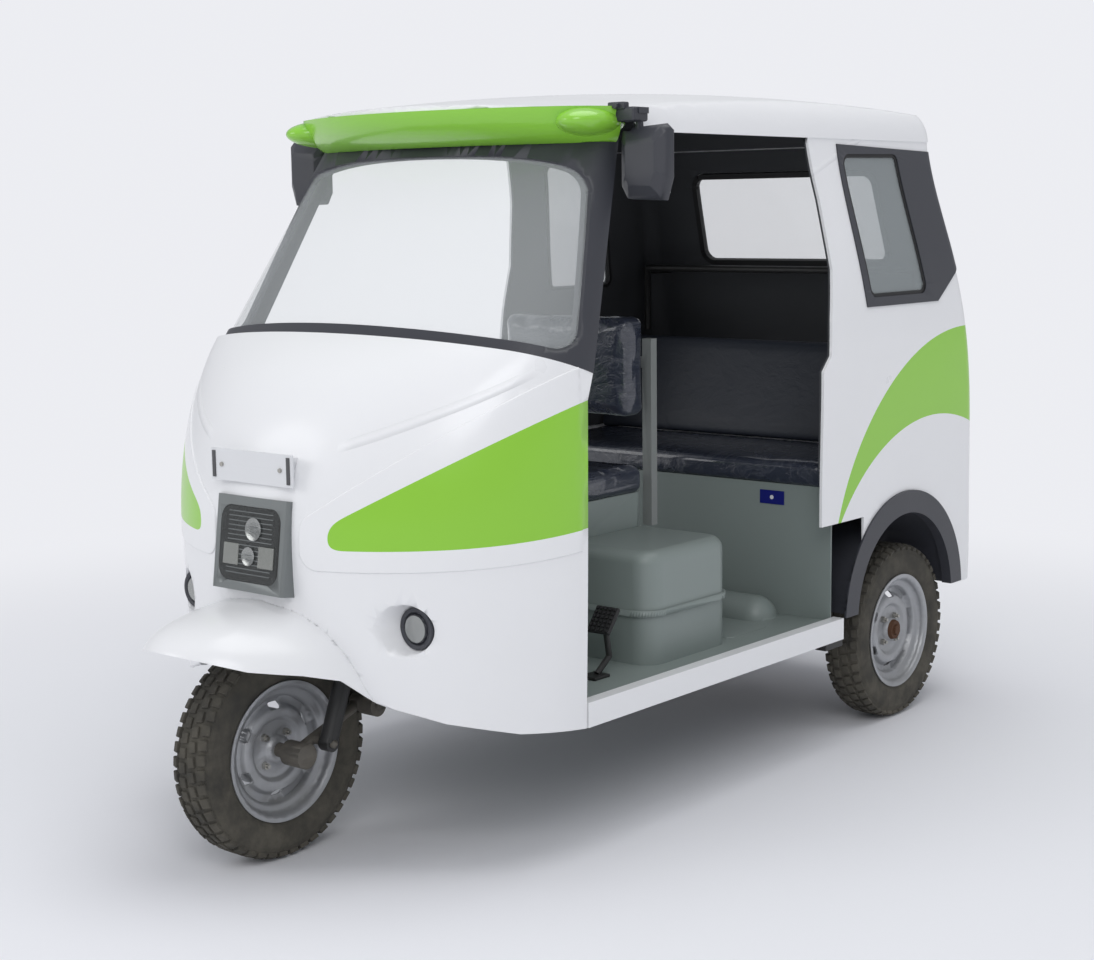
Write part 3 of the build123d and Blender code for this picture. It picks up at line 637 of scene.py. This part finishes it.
def close_seams(obj: Obj, gap: float) -> None:
    """Merge an object's doubled points and turn its faces outwards.

    Args:
        obj: The object.
        gap: Points nearer than this are merged.
    """
    activate(obj)
    mode("EDIT")
    bpy.ops.mesh.select_all(action="SELECT")
    bpy.ops.mesh.remove_doubles(threshold=gap)
    bpy.ops.mesh.normals_make_consistent(inside=False)
    mode("OBJECT")


def settle(matrix: Matrix) -> Obj:
    """Give the newest object its place and size, and apply them.

    Args:
        matrix: Its place and size.

    Returns:
        The object.
    """
    obj = bpy.context.object
    obj.matrix_world = matrix
    bpy.ops.object.transform_apply(location=True, rotation=True, scale=True)
    return obj


def block(centre: Point, size: Point, matrix: Matrix = Matrix(),
          rounding: float = 0.0) -> Obj:
    """Add a block, with its place applied.

    Args:
        centre: Its centre, in the frame or in the matrix's space.
        size: Its three sizes.
        matrix: A space to place it in.
        rounding: Width of the rounded edges.

    Returns:
        The new object.
    """
    bpy.ops.mesh.primitive_cube_add(size=1.0)
    obj = settle(matrix @ Matrix.Translation(centre) @ Matrix.Diagonal((*size, 1.0)))
    if rounding:
        bevel(obj, rounding)
    return obj


def drum(centre: Point, radius: float, depth: float, axis: Point, sides: int = 48,
         top: float | None = None) -> Obj:
    """Add a cylinder or cone whose axis points along a direction.

    Args:
        centre: Its centre.
        radius: Radius at the start.
        depth: Length along the axis.
        axis: Direction of the axis.
        sides: Number of sides.
        top: Radius at the end, if it isn't a cylinder.

    Returns:
        The new object.
    """
    bpy.ops.mesh.primitive_cone_add(vertices=sides, radius1=radius,
                                    radius2=radius if top is None else top, depth=depth)
    turn = Vector(axis).normalized().to_track_quat("Z", "Y").to_matrix().to_4x4()
    return settle(Matrix.Translation(centre) @ turn)


def ball(place: Matrix, radii: Point, segments: int = 40) -> Obj:
    """Add an ellipsoid.

    Args:
        place: Its place.
        radii: Its three radii.
        segments: Segments round it, with half as many rings.

    Returns:
        The new object.
    """
    bpy.ops.mesh.primitive_uv_sphere_add(segments=segments, ring_count=segments // 2, radius=1.0)
    return settle(place @ Matrix.Diagonal((*radii, 1.0)))


def bar(start: Point, end: Point, radius: float, sides: int = 24) -> Obj:
    """Add a round bar between two points.

    Args:
        start: One end.
        end: The other end.
        radius: The bar's radius.
        sides: Number of sides.

    Returns:
        The new object.
    """
    a, b = Vector(start), Vector(end)
    return drum((a + b) / 2, radius, (b - a).length, b - a, sides)


def join(objects: Sequence[Obj]) -> Obj:
    """Join two or more objects into the first one.

    Args:
        objects: The objects.

    Returns:
        The joined object.
    """
    activate(objects[0])
    for obj in objects[1:]:
        obj.select_set(True)
    bpy.ops.object.join()
    return bpy.context.object


def spun(profile: Sequence[tuple[float, float]], centre: Point, steps: int) -> Obj:
    """Spin a closed profile round the X axis through a centre.

    Args:
        profile: Points as (x, radius) in metres, from the centre.
        centre: A point on the axis.
        steps: Steps round the axis.

    Returns:
        The spun object.
    """
    count = len(profile)
    edges = [(i, (i + 1) % count) for i in range(count)]
    mesh = bpy.data.meshes.new("spun")
    mesh.from_pydata([(centre[0] + x, centre[1], centre[2] + r) for x, r in profile], edges, [])
    obj = bpy.data.objects.new("spun", mesh)
    bpy.context.collection.objects.link(obj)
    activate(obj)
    mode("EDIT")
    bpy.ops.mesh.select_all(action="SELECT")
    bpy.ops.mesh.spin(steps=steps, angle=2 * math.pi, center=centre, axis=(1, 0, 0))
    mode("OBJECT")
    close_seams(obj, 0.00002)
    return obj


def complete(obj: Obj, name: str, finish: Finish, body: str = "body",
             angle: float = 35.0, replaces: Iterable[str] = ()) -> None:
    """Name a piece, give it its finish and tie it to its body.

    Args:
        obj: The piece, in place.
        name: Its name.
        finish: Its finish.
        body: The body that it rides on.
        angle: Edges flatter than this many degrees are shaded smooth.
        replaces: CAD nodes that it stands for.
    """
    activate(obj)
    bpy.ops.object.shade_smooth_by_angle(angle=math.radians(angle))
    modify(obj, "WEIGHTED_NORMAL", keep_sharp=True)
    obj.name = name
    obj.data.materials.clear()
    obj.data.materials.append(finish.build())
    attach(obj, body)
    if replaces:
        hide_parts(*replaces)
    LOG.info("%s: %d faces", name, len(obj.data.polygons))


def copy_node(name: str) -> Obj:
    """Duplicate a CAD node with its seams merged.

    Args:
        name: The node's name.

    Returns:
        The duplicate, free of any parent.
    """
    activate(frame["nodes"][name])
    bpy.ops.object.duplicate()
    obj = bpy.context.object
    world = obj.matrix_world.copy()
    obj.parent = None
    obj.matrix_world = world
    for key in [k for k in obj.keys() if k.startswith("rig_")]:
        del obj[key]
    obj.hide_render = False
    obj.hide_viewport = False
    close_seams(obj, 0.00001)
    return obj


class Shell:
    """The moulded body and the fixed parts that show their CAD form, smoothed and painted."""

    finishes: dict[Finish, tuple[str, ...]] = {
        Palette.shell: ("front_cowl", "quarter_panel_left", "quarter_panel_right", "rear_panel"),
        Palette.white: ("front_fender", "roof", "side_sills"),
        Palette.green: ("visor",),
        Palette.charcoal: ("windshield_frame", "quarter_trims", "wheel_flares",
                           "wheel_arch_liners", "mirrors", "dashboard", "fog_lamps"),
        Palette.pane: ("windshield_glass",),
        Palette.lining: ("roof_lining", "cabin_lining"),
        Palette.grey: ("floor_pan", "rear_riser", "battery_console", "driver_seat_base"),
        Palette.post: ("driver_seat_frame",),
        Palette.battery: ("battery_pack",),
        Palette.frame_black: ("cabin_rails", "chassis_frame", "leaf_springs", "pedals",
                              "handlebar", "front_strut"),
        Palette.steel: ("rear_axle", "drive_motor", "steering_column", "fork", "front_link"),
        Palette.bezel: ("headlamp_bezel",),
        Palette.plate: ("number_plate",),
        Palette.red_lens: ("tail_lamps",),
        Palette.silver: ("front_rim", "rear_rim_left", "rear_rim_right"),
    }

    def build(self) -> None:
        """Dress every node that keeps its CAD form."""
        for finish, names in self.finishes.items():
            for name in names:
                complete(copy_node(name), f"{name}_skin", finish, NODE_BODY[name], 32.0, [name])


@dataclass
class Glazing:
    """The rear body's three panes with their rubber seals."""

    side_seal: float = 0.010
    rear_seal: float = 0.017
    side_x: float = 0.4

    def seal(self, pane: Obj, width: float, outward: Vector) -> Obj:
        """A rubber ring round a pane's edge.

        Args:
            pane: The pane.
            width: How far the rubber reaches over the glass.
            outward: The direction of the pane's outer face.

        Returns:
            The ring.
        """
        activate(pane)
        bpy.ops.object.duplicate()
        ring = bpy.context.object
        pick_faces(ring, lambda face: face.normal.dot(outward) < 0.6)
        bpy.ops.mesh.delete(type="FACE")
        bpy.ops.mesh.select_all(action="SELECT")
        bpy.ops.mesh.inset(thickness=width)
        bpy.ops.mesh.delete(type="FACE")
        mode("OBJECT")
        modify(ring, "SOLIDIFY", thickness=0.020, offset=-0.7)
        return ring

    def build(self) -> None:
        """Separate the panes, glaze them and seal them."""
        activate(copy_node("rear_glazing"))
        mode("EDIT")
        bpy.ops.mesh.select_all(action="SELECT")
        bpy.ops.mesh.separate(type="LOOSE")
        mode("OBJECT")
        for pane in list(bpy.context.selected_objects):
            middle = sum((v.co for v in pane.data.vertices), Vector()) / len(pane.data.vertices)
            finish, width, outward, place = Palette.pane, self.rear_seal, -FORWARDS, "rear"
            if abs(middle.x) > self.side_x:
                side = Side.LEFT if middle.x > 0 else Side.RIGHT
                finish, width, place = Palette.side_pane, self.side_seal, side.label
                outward = Vector((side.value, 0, 0))
            complete(self.seal(pane, width, outward), f"seal_{place}", Palette.rubber)
            complete(pane, f"pane_{place}", finish, replaces=["rear_glazing"])


class BrimEnds:
    """The visor's raised end lobes and the mirrors' clamps on them."""

    def build(self) -> None:
        """Build both ends."""
        for side in Side:
            s = side.value
            place = Matrix.Translation(at(s * 446, 672, 1714)) @ Matrix.Rotation(s * 0.25, 4, "Z")
            lobe = ball(place, (0.072, 0.125, 0.037), 48)
            complete(lobe, f"visor_lobe_{side.label}", Palette.green, angle=60)
            foot = block(at(s * 536, 712, 1728), (0.062, 0.058, 0.034), rounding=0.006)
            jaw = block(at(s * 516, 690, 1748), (0.050, 0.022, 0.018), rounding=0.004)
            screw = drum(at(s * 520, 676, 1748), 0.008, 0.014, FORWARDS, 6)
            complete(join([foot, jaw, screw]), f"mirror_clamp_{side.label}", Palette.charcoal)
            glass = block(at(s * 576, 738.4, 1618), (0.112, 0.0016, 0.148), rounding=0.012)
            complete(glass, f"mirror_glass_{side.label}", Palette.mirror)


@dataclass
class Wheel:
    """A treaded tyre with its nuts and hub, over one rim node.

    Attributes:
        rim: The rim's node.
        tyre: The tyre's node.
        outer: The side that the disc's outer face points to.
        blocks: Tread blocks round the tyre.
        tread_r: Radius over the tread.
        half_w: Half the tyre's width.
        nut_r: Radius of the circle of nuts.
    """

    rim: str
    tyre: str
    outer: Side = Side.LEFT
    blocks: int = 46
    tread_r: float = 0.2584
    half_w: float = 0.0547
    nut_r: float = 0.048

    def __post_init__(self) -> None:
        """Find the wheel's middle, body and outward axis."""
        low, high = (Vector(corner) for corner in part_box(self.rim))
        self.centre = (low + high) / 2
        self.body = NODE_BODY[self.rim]
        self.axis = Vector((self.outer.value, 0, 0))

    def carcass(self) -> Obj:
        """The tyre's body with ribbed sidewalls and round grooves."""
        half = [(0.0455, 0.1574), (0.0475, 0.170), (0.0500, 0.177), (0.0512, 0.1785),
                (0.0516, 0.1825), (0.0522, 0.184), (0.0536, 0.194), (0.0544, 0.206),
                (0.0542, 0.216), (0.0532, 0.224), (0.0538, 0.2255), (0.0534, 0.229),
                (0.0520, 0.231), (0.0500, 0.239), (0.0450, 0.246), (0.0380, 0.2495),
                (0.0200, 0.2518), (0.0, 0.2525)]
        return spun(half + [(-x, r) for x, r in reversed(half[:-1])], self.centre, 120)

    def tread_row(self, step: float) -> Obj:
        """One step of the tread: two centre blocks and two leaning shoulder lugs.

        Args:
            step: The angle from one row to the next.

        Returns:
            The row.
        """
        # Each block's x, width, length, share of a step, drop under the tread's radius, lean
        rows = ((-0.0425, 0.021, 0.0240, 0.0, 0.0042, -0.42),
                (-0.0150, 0.020, 0.0250, 0.25, 0.0003, 0.0),
                (0.0150, 0.020, 0.0250, 0.75, 0.0003, 0.0),
                (0.0425, 0.021, 0.0240, 0.5, 0.0042, 0.42))
        height = 0.011
        inset = 0.006
        pieces = []
        for x, width, length, shift, drop, lean in rows:
            place = (Matrix.Translation(self.centre) @ Matrix.Rotation(step * shift, 4, "X")
                     @ Matrix.Translation((x, 0, self.tread_r - drop - inset))
                     @ Matrix.Rotation(lean, 4, "Y") @ Matrix.Rotation(0.25 * shift, 4, "Z"))
            pieces.append(block((0, 0, 0), (width, length, height), place))
        row = join(pieces)
        bevel(row, 0.0015, 1)
        return row

    def build(self) -> None:
        """Build the tyre and the wheel nuts."""
        step = 2 * math.pi / self.blocks
        row = self.tread_row(step)
        pivot = bpy.data.objects.new("pivot", None)
        bpy.context.collection.objects.link(pivot)
        pivot.matrix_world = (Matrix.Translation(self.centre) @ Matrix.Rotation(step, 4, "X")
                              @ Matrix.Translation(-self.centre))
        bpy.context.view_layer.update()
        modify(row, "ARRAY", count=self.blocks, use_relative_offset=False,
               use_object_offset=True, offset_object=pivot)
        bpy.data.objects.remove(pivot)
        tyre = join([self.carcass(), row])
        self.clamp(tyre)
        complete(tyre, f"{self.tyre}_tread", Palette.tyre, self.body, 40.0, [self.tyre])
        self.nuts()

    def clamp(self, tyre: Obj) -> None:
        """Keep the tread inside the tyre's radius and width.

        Args:
            tyre: The finished tyre mesh.
        """
        for vertex in tyre.data.vertices:
            away = vertex.co - self.centre
            shrink = min(1.0, self.tread_r / math.hypot(away.y, away.z))
            away.y *= shrink
            away.z *= shrink
            away.x = max(-self.half_w, min(self.half_w, away.x))
            vertex.co = self.centre + away

    def nuts(self) -> None:
        """Four wheel nuts on the disc, with their studs."""
        pieces = []
        for i in range(4):
            turn = math.radians(45 + 90 * i)
            spot = self.centre + self.axis * 0.017 + self.nut_r * Vector(
                (0, math.cos(turn), math.sin(turn)))
            pieces.append(drum(spot, 0.0095, 0.011, self.axis, 6))
            pieces.append(drum(spot + self.axis * 0.008, 0.005, 0.010, self.axis, 16))
        nuts = join(pieces)
        bevel(nuts, 0.0008, 2)
        complete(nuts, f"{self.rim}_nuts", Palette.bolt, self.body)

    def cap(self) -> None:
        """The rusty centre cap of a rear wheel, with its nut."""
        rim = drum(self.centre + self.axis * 0.033, 0.0300, 0.012, self.axis, 40, 0.027)
        nut = drum(self.centre + self.axis * 0.041, 0.0165, 0.010, self.axis, 6)
        cap = join([rim, nut])
        bevel(cap, 0.0015, 2)
        complete(cap, f"{self.rim}_cap", Palette.rusty, self.body)


@dataclass
class Lamps:
    """The headlamp's inside, the fog lamps' lenses and the plate's fittings."""

    lean: float = math.atan2(29, 219)
    projector: tuple[float, float] = (0.012, 0.036)

    def face(self, x: float, y: float, z: float, lean: float) -> Matrix:
        """A space on a leaning front face: X across, Y up the face, Z forwards.

        Args:
            x: Across, in millimetres.
            y: Behind the front axle, in millimetres.
            z: Height, in millimetres.
            lean: Angle that the face leans back.

        Returns:
            The space's matrix.
        """
        c, s = math.cos(lean), math.sin(lean)
        turn = Matrix(((1, 0, 0), (0, s, -c), (0, c, s))).to_4x4()
        return Matrix.Translation(at(x, y, z)) @ turn

    def bowl(self, centre: Vector, axis: Vector, radius: float) -> Obj:
        """An open reflector bowl.

        Args:
            centre: Its middle.
            axis: The direction that it opens to.
            radius: Its radius at the mouth.

        Returns:
            The bowl.
        """
        obj = drum(centre, radius * 0.8, 0.004, axis, 40, radius)
        pick_faces(obj, lambda face: face.normal.dot(axis) > 0.95)
        bpy.ops.mesh.inset(thickness=radius * 0.08)
        bpy.ops.mesh.inset(thickness=radius * 0.45, depth=-0.003)
        mode("OBJECT")
        return obj

    def headlamp(self) -> None:
        """Chamber, reflectors, projector and clear cover of the headlamp."""
        space = self.face(0, -46, 752.5, self.lean)
        ahead = space.to_3x3() @ Vector((0, 0, 1))
        chamber = block((0, 0, -0.002), (0.202, 0.174, 0.002), space)
        complete(chamber, "headlamp_chamber", Palette.lamp_dark, replaces=["headlamp"])
        x, y = self.projector
        bowls = [self.bowl(space @ Vector(spot), ahead, radius)
                 for spot, radius in (((x, y, 0.0008), 0.027), ((0, -0.028, 0.0008), 0.022))]
        complete(join(bowls), "headlamp_reflectors", Palette.reflector)
        fans = [block((side.value * 0.060, -0.026, 0.0005), (0.052, 0.050, 0.004), space, 0.0015)
                for side in Side]
        complete(join(fans), "headlamp_fans", Palette.flutes)
        slats = [block((0, 0.074 - 0.011 * i, -0.0007), (0.150, 0.0022, 0.002), space)
                 for i in range(14)]
        complete(join(slats), "headlamp_slats", Palette.bezel)
        lens = ball(Matrix.Translation(space @ Vector((x, y, 0.001))), (0.017, 0.0068, 0.017), 36)
        complete(lens, "headlamp_projector", Palette.lamp_lens, angle=60)
        cover = block((0, 0, 0.0042), (0.200, 0.172, 0.0012), space)
        complete(cover, "headlamp_cover", Palette.lamp_lens)

    def fogs(self) -> None:
        """Reflector and domed lens of each fog lamp."""
        for side in Side:
            centre = at(side.value * 380, 104, 577)
            bowl = drum(centre, 0.031, 0.0016, FORWARDS)
            complete(bowl, f"fog_reflector_{side.label}", Palette.reflector)
            dome = ball(Matrix.Translation(centre), (0.033, 0.00924, 0.033))
            complete(dome, f"fog_lens_{side.label}", Palette.lamp_lens, angle=60)

    def plate_fittings(self) -> None:
        """Dark clamps at the blank plate's ends, and its two bolts."""
        space = self.face(0, -33, 931, 0.0)
        clamps = [block((side.value * 0.127, 0, 0.0012), (0.010, 0.062, 0.0024), space)
                  for side in Side]
        complete(join(clamps), "plate_clamps", Palette.plate_end)
        bolts = [drum(space @ Vector((side.value * 0.1, 0, 0.002)), 0.0055, 0.004, FORWARDS, 6)
                 for side in Side]
        complete(join(bolts), "plate_bolts", Palette.bolt)

    def build(self) -> None:
        """Build all lamps and fittings."""
        self.headlamp()
        self.fogs()
        self.plate_fittings()


@dataclass
class Cushion:
    """A padded piece made from its CAD block by inflating cloth.

    Attributes:
        node: The CAD node.
        voxel: Size of the cloth's faces.
        limit: Furthest that the cover moves.
        finish: Its finish.
        pressure: Air pressure inside.
        steps: Steps of the simulation.
    """

    node: str
    voxel: float = 0.006
    limit: float = 0.006
    finish: Finish = Palette.vinyl
    pressure: float = 4.0
    steps: int = 20

    def build(self) -> None:
        """Duplicate the block, inflate it and replace the node."""
        obj = copy_node(self.node)
        modify(obj, "REMESH", mode="VOXEL", voxel_size=self.voxel, use_smooth_shade=True)
        self.inflate(obj)
        complete(obj, f"{self.node}_cover", self.finish, "body", 60.0, [self.node])

    def inflate(self, obj: Obj) -> None:
        """Run a short pressure simulation and keep its capped result.

        Args:
            obj: The evenly meshed cushion.
        """
        rest = [v.co.copy() for v in obj.data.vertices]
        cloth = obj.modifiers.new("cloth", "CLOTH")
        for key, value in {"use_pressure": True, "uniform_pressure_force": self.pressure,
                           "mass": 0.4, "tension_stiffness": 12, "compression_stiffness": 12,
                           "shear_stiffness": 4, "bending_stiffness": 0.4}.items():
            setattr(cloth.settings, key, value)
        cloth.settings.effector_weights.gravity = 0.0
        cloth.point_cache.frame_start = 1
        cloth.point_cache.frame_end = self.steps
        scene = bpy.context.scene
        for step in range(1, self.steps + 1):
            scene.frame_set(step)
        apply_modifiers(obj)
        scene.frame_set(1)
        for vertex, start in zip(obj.data.vertices, rest):
            moved = vertex.co - start
            if moved.length > self.limit:
                vertex.co = start + moved * (self.limit / moved.length)


@dataclass
class Cab:
    """Small fittings of the cab: grips and levers, blank tag, brake pedal and sill brackets.

    Attributes:
        bar_middle_y: The handlebar's middle behind the front axle, on the raked column.
        tube_r: Radius of the handlebar's tube.
        bend: Where each arm's sweep starts, as x and y from the handlebar's middle.
        tip: Where it ends.
        grip_x: Where the grips start.
    """

    bar_middle_y: float = -80 + math.tan(math.radians(25)) * 985
    tube_r: float = 0.0125
    bend: tuple[float, float] = (0.120, -0.012)
    tip: tuple[float, float] = (0.300, 0.070)
    grip_x: float = 0.215

    def controls(self) -> None:
        """Rubber grips and levers on the handlebar."""
        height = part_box("handlebar")[1][2] - self.tube_r
        middle_y = at(0, self.bar_middle_y, 0).y
        (bend_x, bend_y), (tip_x, tip_y) = self.bend, self.tip
        grip_y = bend_y + (tip_y - bend_y) * (self.grip_x - bend_x) / (tip_x - bend_x)
        for side in Side:
            start = Vector((side.value * self.grip_x, middle_y + grip_y, height))
            end = Vector((side.value * tip_x, middle_y + tip_y, height))
            grip = bar(start, end, 0.0165, 28)
            complete(grip, f"grip_{side.label}", Palette.rubber, "steering")
            lever = bar(start + FORWARDS * 0.03, end + FORWARDS * 0.045, 0.005, 12)
            complete(lever, f"lever_{side.label}", Palette.post, "steering")

    def tag(self) -> None:
        """The blank blue tag with its round white dot, under the bench."""
        tag = block(at(373, 1576.4, 692), (0.081, 0.002, 0.039), rounding=0.0006)
        complete(tag, "riser_tag", Palette.blue)
        dot = drum(at(373, 1575.0, 692), 0.006, 0.0012, FORWARDS, 24)
        complete(dot, "riser_tag_dot", Palette.plate)

    def brake(self) -> None:
        """The studded brake pedal ahead of the console, on its bent arm."""
        space = Matrix.Translation(at(440, 713, 497)) @ Matrix.Rotation(math.radians(52), 4, "X")
        pieces = [block((0, 0, 0), (0.070, 0.074, 0.012), space, 0.004)]
        for row in range(6):
            for column in range(5):
                spot = ((column - 2) * 0.013, (row - 2.5) * 0.0118, 0.0075)
                pieces.append(block(spot, (0.0075, 0.0065, 0.005), space))
        complete(join(pieces), "brake_pedal_pad", Palette.rubber)
        arm = join([bar(at(440, 719, 488), at(440, 735, 400), 0.008),
                    bar(at(440, 735, 402), at(440, 685, 366), 0.008),
                    block(at(440, 677, 362), (0.050, 0.060, 0.008), rounding=0.002)])
        complete(arm, "brake_pedal_arm", Palette.frame_black)

    def sill_brackets(self) -> None:
        """The black bracket under each sill's rear end."""
        for side in Side:
            foot = block(at(side.value * 574, 1560, 296), (0.036, 0.090, 0.022), rounding=0.003)
            complete(foot, f"sill_bracket_{side.label}", Palette.frame_black)

    def build(self) -> None:
        """Build all fittings."""
        self.controls()
        self.tag()
        self.brake()
        self.sill_brackets()


@dataclass
class Studio:
    """Pale seamless studio, soft lights and the camera fitted to the photograph.

    Attributes:
        fade: Distances from the middle where the floor starts to fade and has faded.
    """

    backdrop: Colour = (0.842, 0.850, 0.888)
    camera_at: Point = (3.26729, -3.91749, 1.50843)
    yaw: float = math.radians(39.9396)
    pitch: float = math.radians(8.1954)
    roll: float = math.radians(-0.7418)
    lens: float = 61.772
    fade: tuple[float, float] = (1.2, 4.2)

    def floor(self) -> None:
        """A wide floor that fades into the backdrop."""
        bpy.ops.mesh.primitive_plane_add(size=80, location=(0, 0, 0))
        floor = bpy.context.object
        floor.name = "studio_floor"
        material = bpy.data.materials.new("studio_floor")
        material.use_nodes = True
        graph = Graph(material.node_tree)
        shader = graph.tree.nodes["Principled BSDF"]
        graph.feed(shader, {"Base Color": (0.86, 0.865, 0.90, 1), "Roughness": 0.75,
                            "Specular IOR Level": 0.15})
        away = graph.add("VectorMath", {0: graph.point()}, operation="LENGTH")["Value"]
        start, end = self.fade
        fade = graph.add("MapRange", {"Value": away, "From Min": start, "From Max": end},
                         interpolation_type="SMOOTHSTEP")["Result"]
        self.surface(graph, "Material Output", fade, shader)
        floor.data.materials.append(material)

    def world(self) -> None:
        """Even pale surroundings, with the backdrop's own colour where it is seen."""
        world = bpy.data.worlds.new("studio")
        bpy.context.scene.world = world
        world.use_nodes = True
        graph = Graph(world.node_tree)
        light = graph.tree.nodes["Background"]
        graph.feed(light, {"Color": (0.93, 0.95, 1.0, 1), "Strength": 0.50})
        path = graph.add("LightPath")
        seen = graph.calc("MAXIMUM", path["Is Camera Ray"], path["Is Transmission Ray"])
        self.surface(graph, "World Output", seen, light)

    def surface(self, graph: Graph, output: str, share: Socket, shader: Node) -> None:
        """Mix the backdrop's even glow into a shader and put it out.

        Args:
            graph: The graph of the floor or the world.
            output: The name of its output node.
            share: The glow's share.
            shader: The shader.
        """
        kind = "Background" if output == "World Output" else "Emission"
        glow = graph.add(kind, {"Color": (*self.backdrop, 1)})[0]
        mix = graph.add("MixShader", {0: share, 1: shader.outputs[0], 2: glow})[0]
        graph.feed(graph.tree.nodes[output], {"Surface": mix})

    def lamp(self, name: str, spot: Point, aim: Point, size: float, power: float) -> None:
        """Add one soft area light.

        Args:
            name: Its name.
            spot: Its place.
            aim: The point that it faces.
            size: Its width.
            power: Its power in watts.
        """
        data = bpy.data.lights.new(name, "AREA")
        data.shape = "DISK"
        data.size = size
        data.energy = power
        obj = bpy.data.objects.new(name, data)
        bpy.context.collection.objects.link(obj)
        obj.location = spot
        obj.rotation_euler = (Vector(aim) - Vector(spot)).to_track_quat("-Z", "Y").to_euler()

    def camera(self) -> None:
        """The camera solved from the photograph."""
        data = bpy.data.cameras.new("camera")
        data.lens = self.lens
        data.sensor_width = 36
        obj = bpy.data.objects.new("camera", data)
        bpy.context.collection.objects.link(obj)
        obj.matrix_world = (Matrix.Translation(self.camera_at) @ Matrix.Rotation(self.yaw, 4, "Z")
                            @ Matrix.Rotation(math.pi / 2 - self.pitch, 4, "X")
                            @ Matrix.Rotation(self.roll, 4, "Z"))
        bpy.context.scene.camera = obj

    def build(self) -> None:
        """Build floor, light and camera."""
        self.floor()
        self.world()
        self.lamp("key", (4.5, -5.5, 5.5), (0, -0.2, 0.8), 4.5, 165)
        self.lamp("front", (-4.0, -6.0, 3.5), (0, -0.6, 0.8), 4.0, 90)
        self.lamp("top", (0.5, 0.5, 6.0), (0, 0, 1.0), 5.0, 120)
        self.camera()
        bpy.context.scene.view_settings.view_transform = "Standard"


def main() -> None:
    """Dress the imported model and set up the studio."""
    logging.basicConfig(level=logging.INFO, format="%(name)s %(message)s")
    Shell().build()
    Glazing().build()
    BrimEnds().build()
    Wheel("front_rim", "front_tyre").build()
    for side in Side:
        wheel = Wheel(f"rear_rim_{side.label}", f"rear_tyre_{side.label}", side)
        wheel.build()
        wheel.cap()
    Lamps().build()
    for cushion in (Cushion("driver_seat_cushion", limit=0.007),
                    Cushion("driver_seat_back", limit=0.007),
                    Cushion("rear_seat_cushion", voxel=0.009, limit=0.008),
                    Cushion("rear_seat_back", voxel=0.009, finish=Palette.back_vinyl)):
        cushion.build()
    Cab().build()
    Studio().build()


if __name__ == "__main__":
    main()
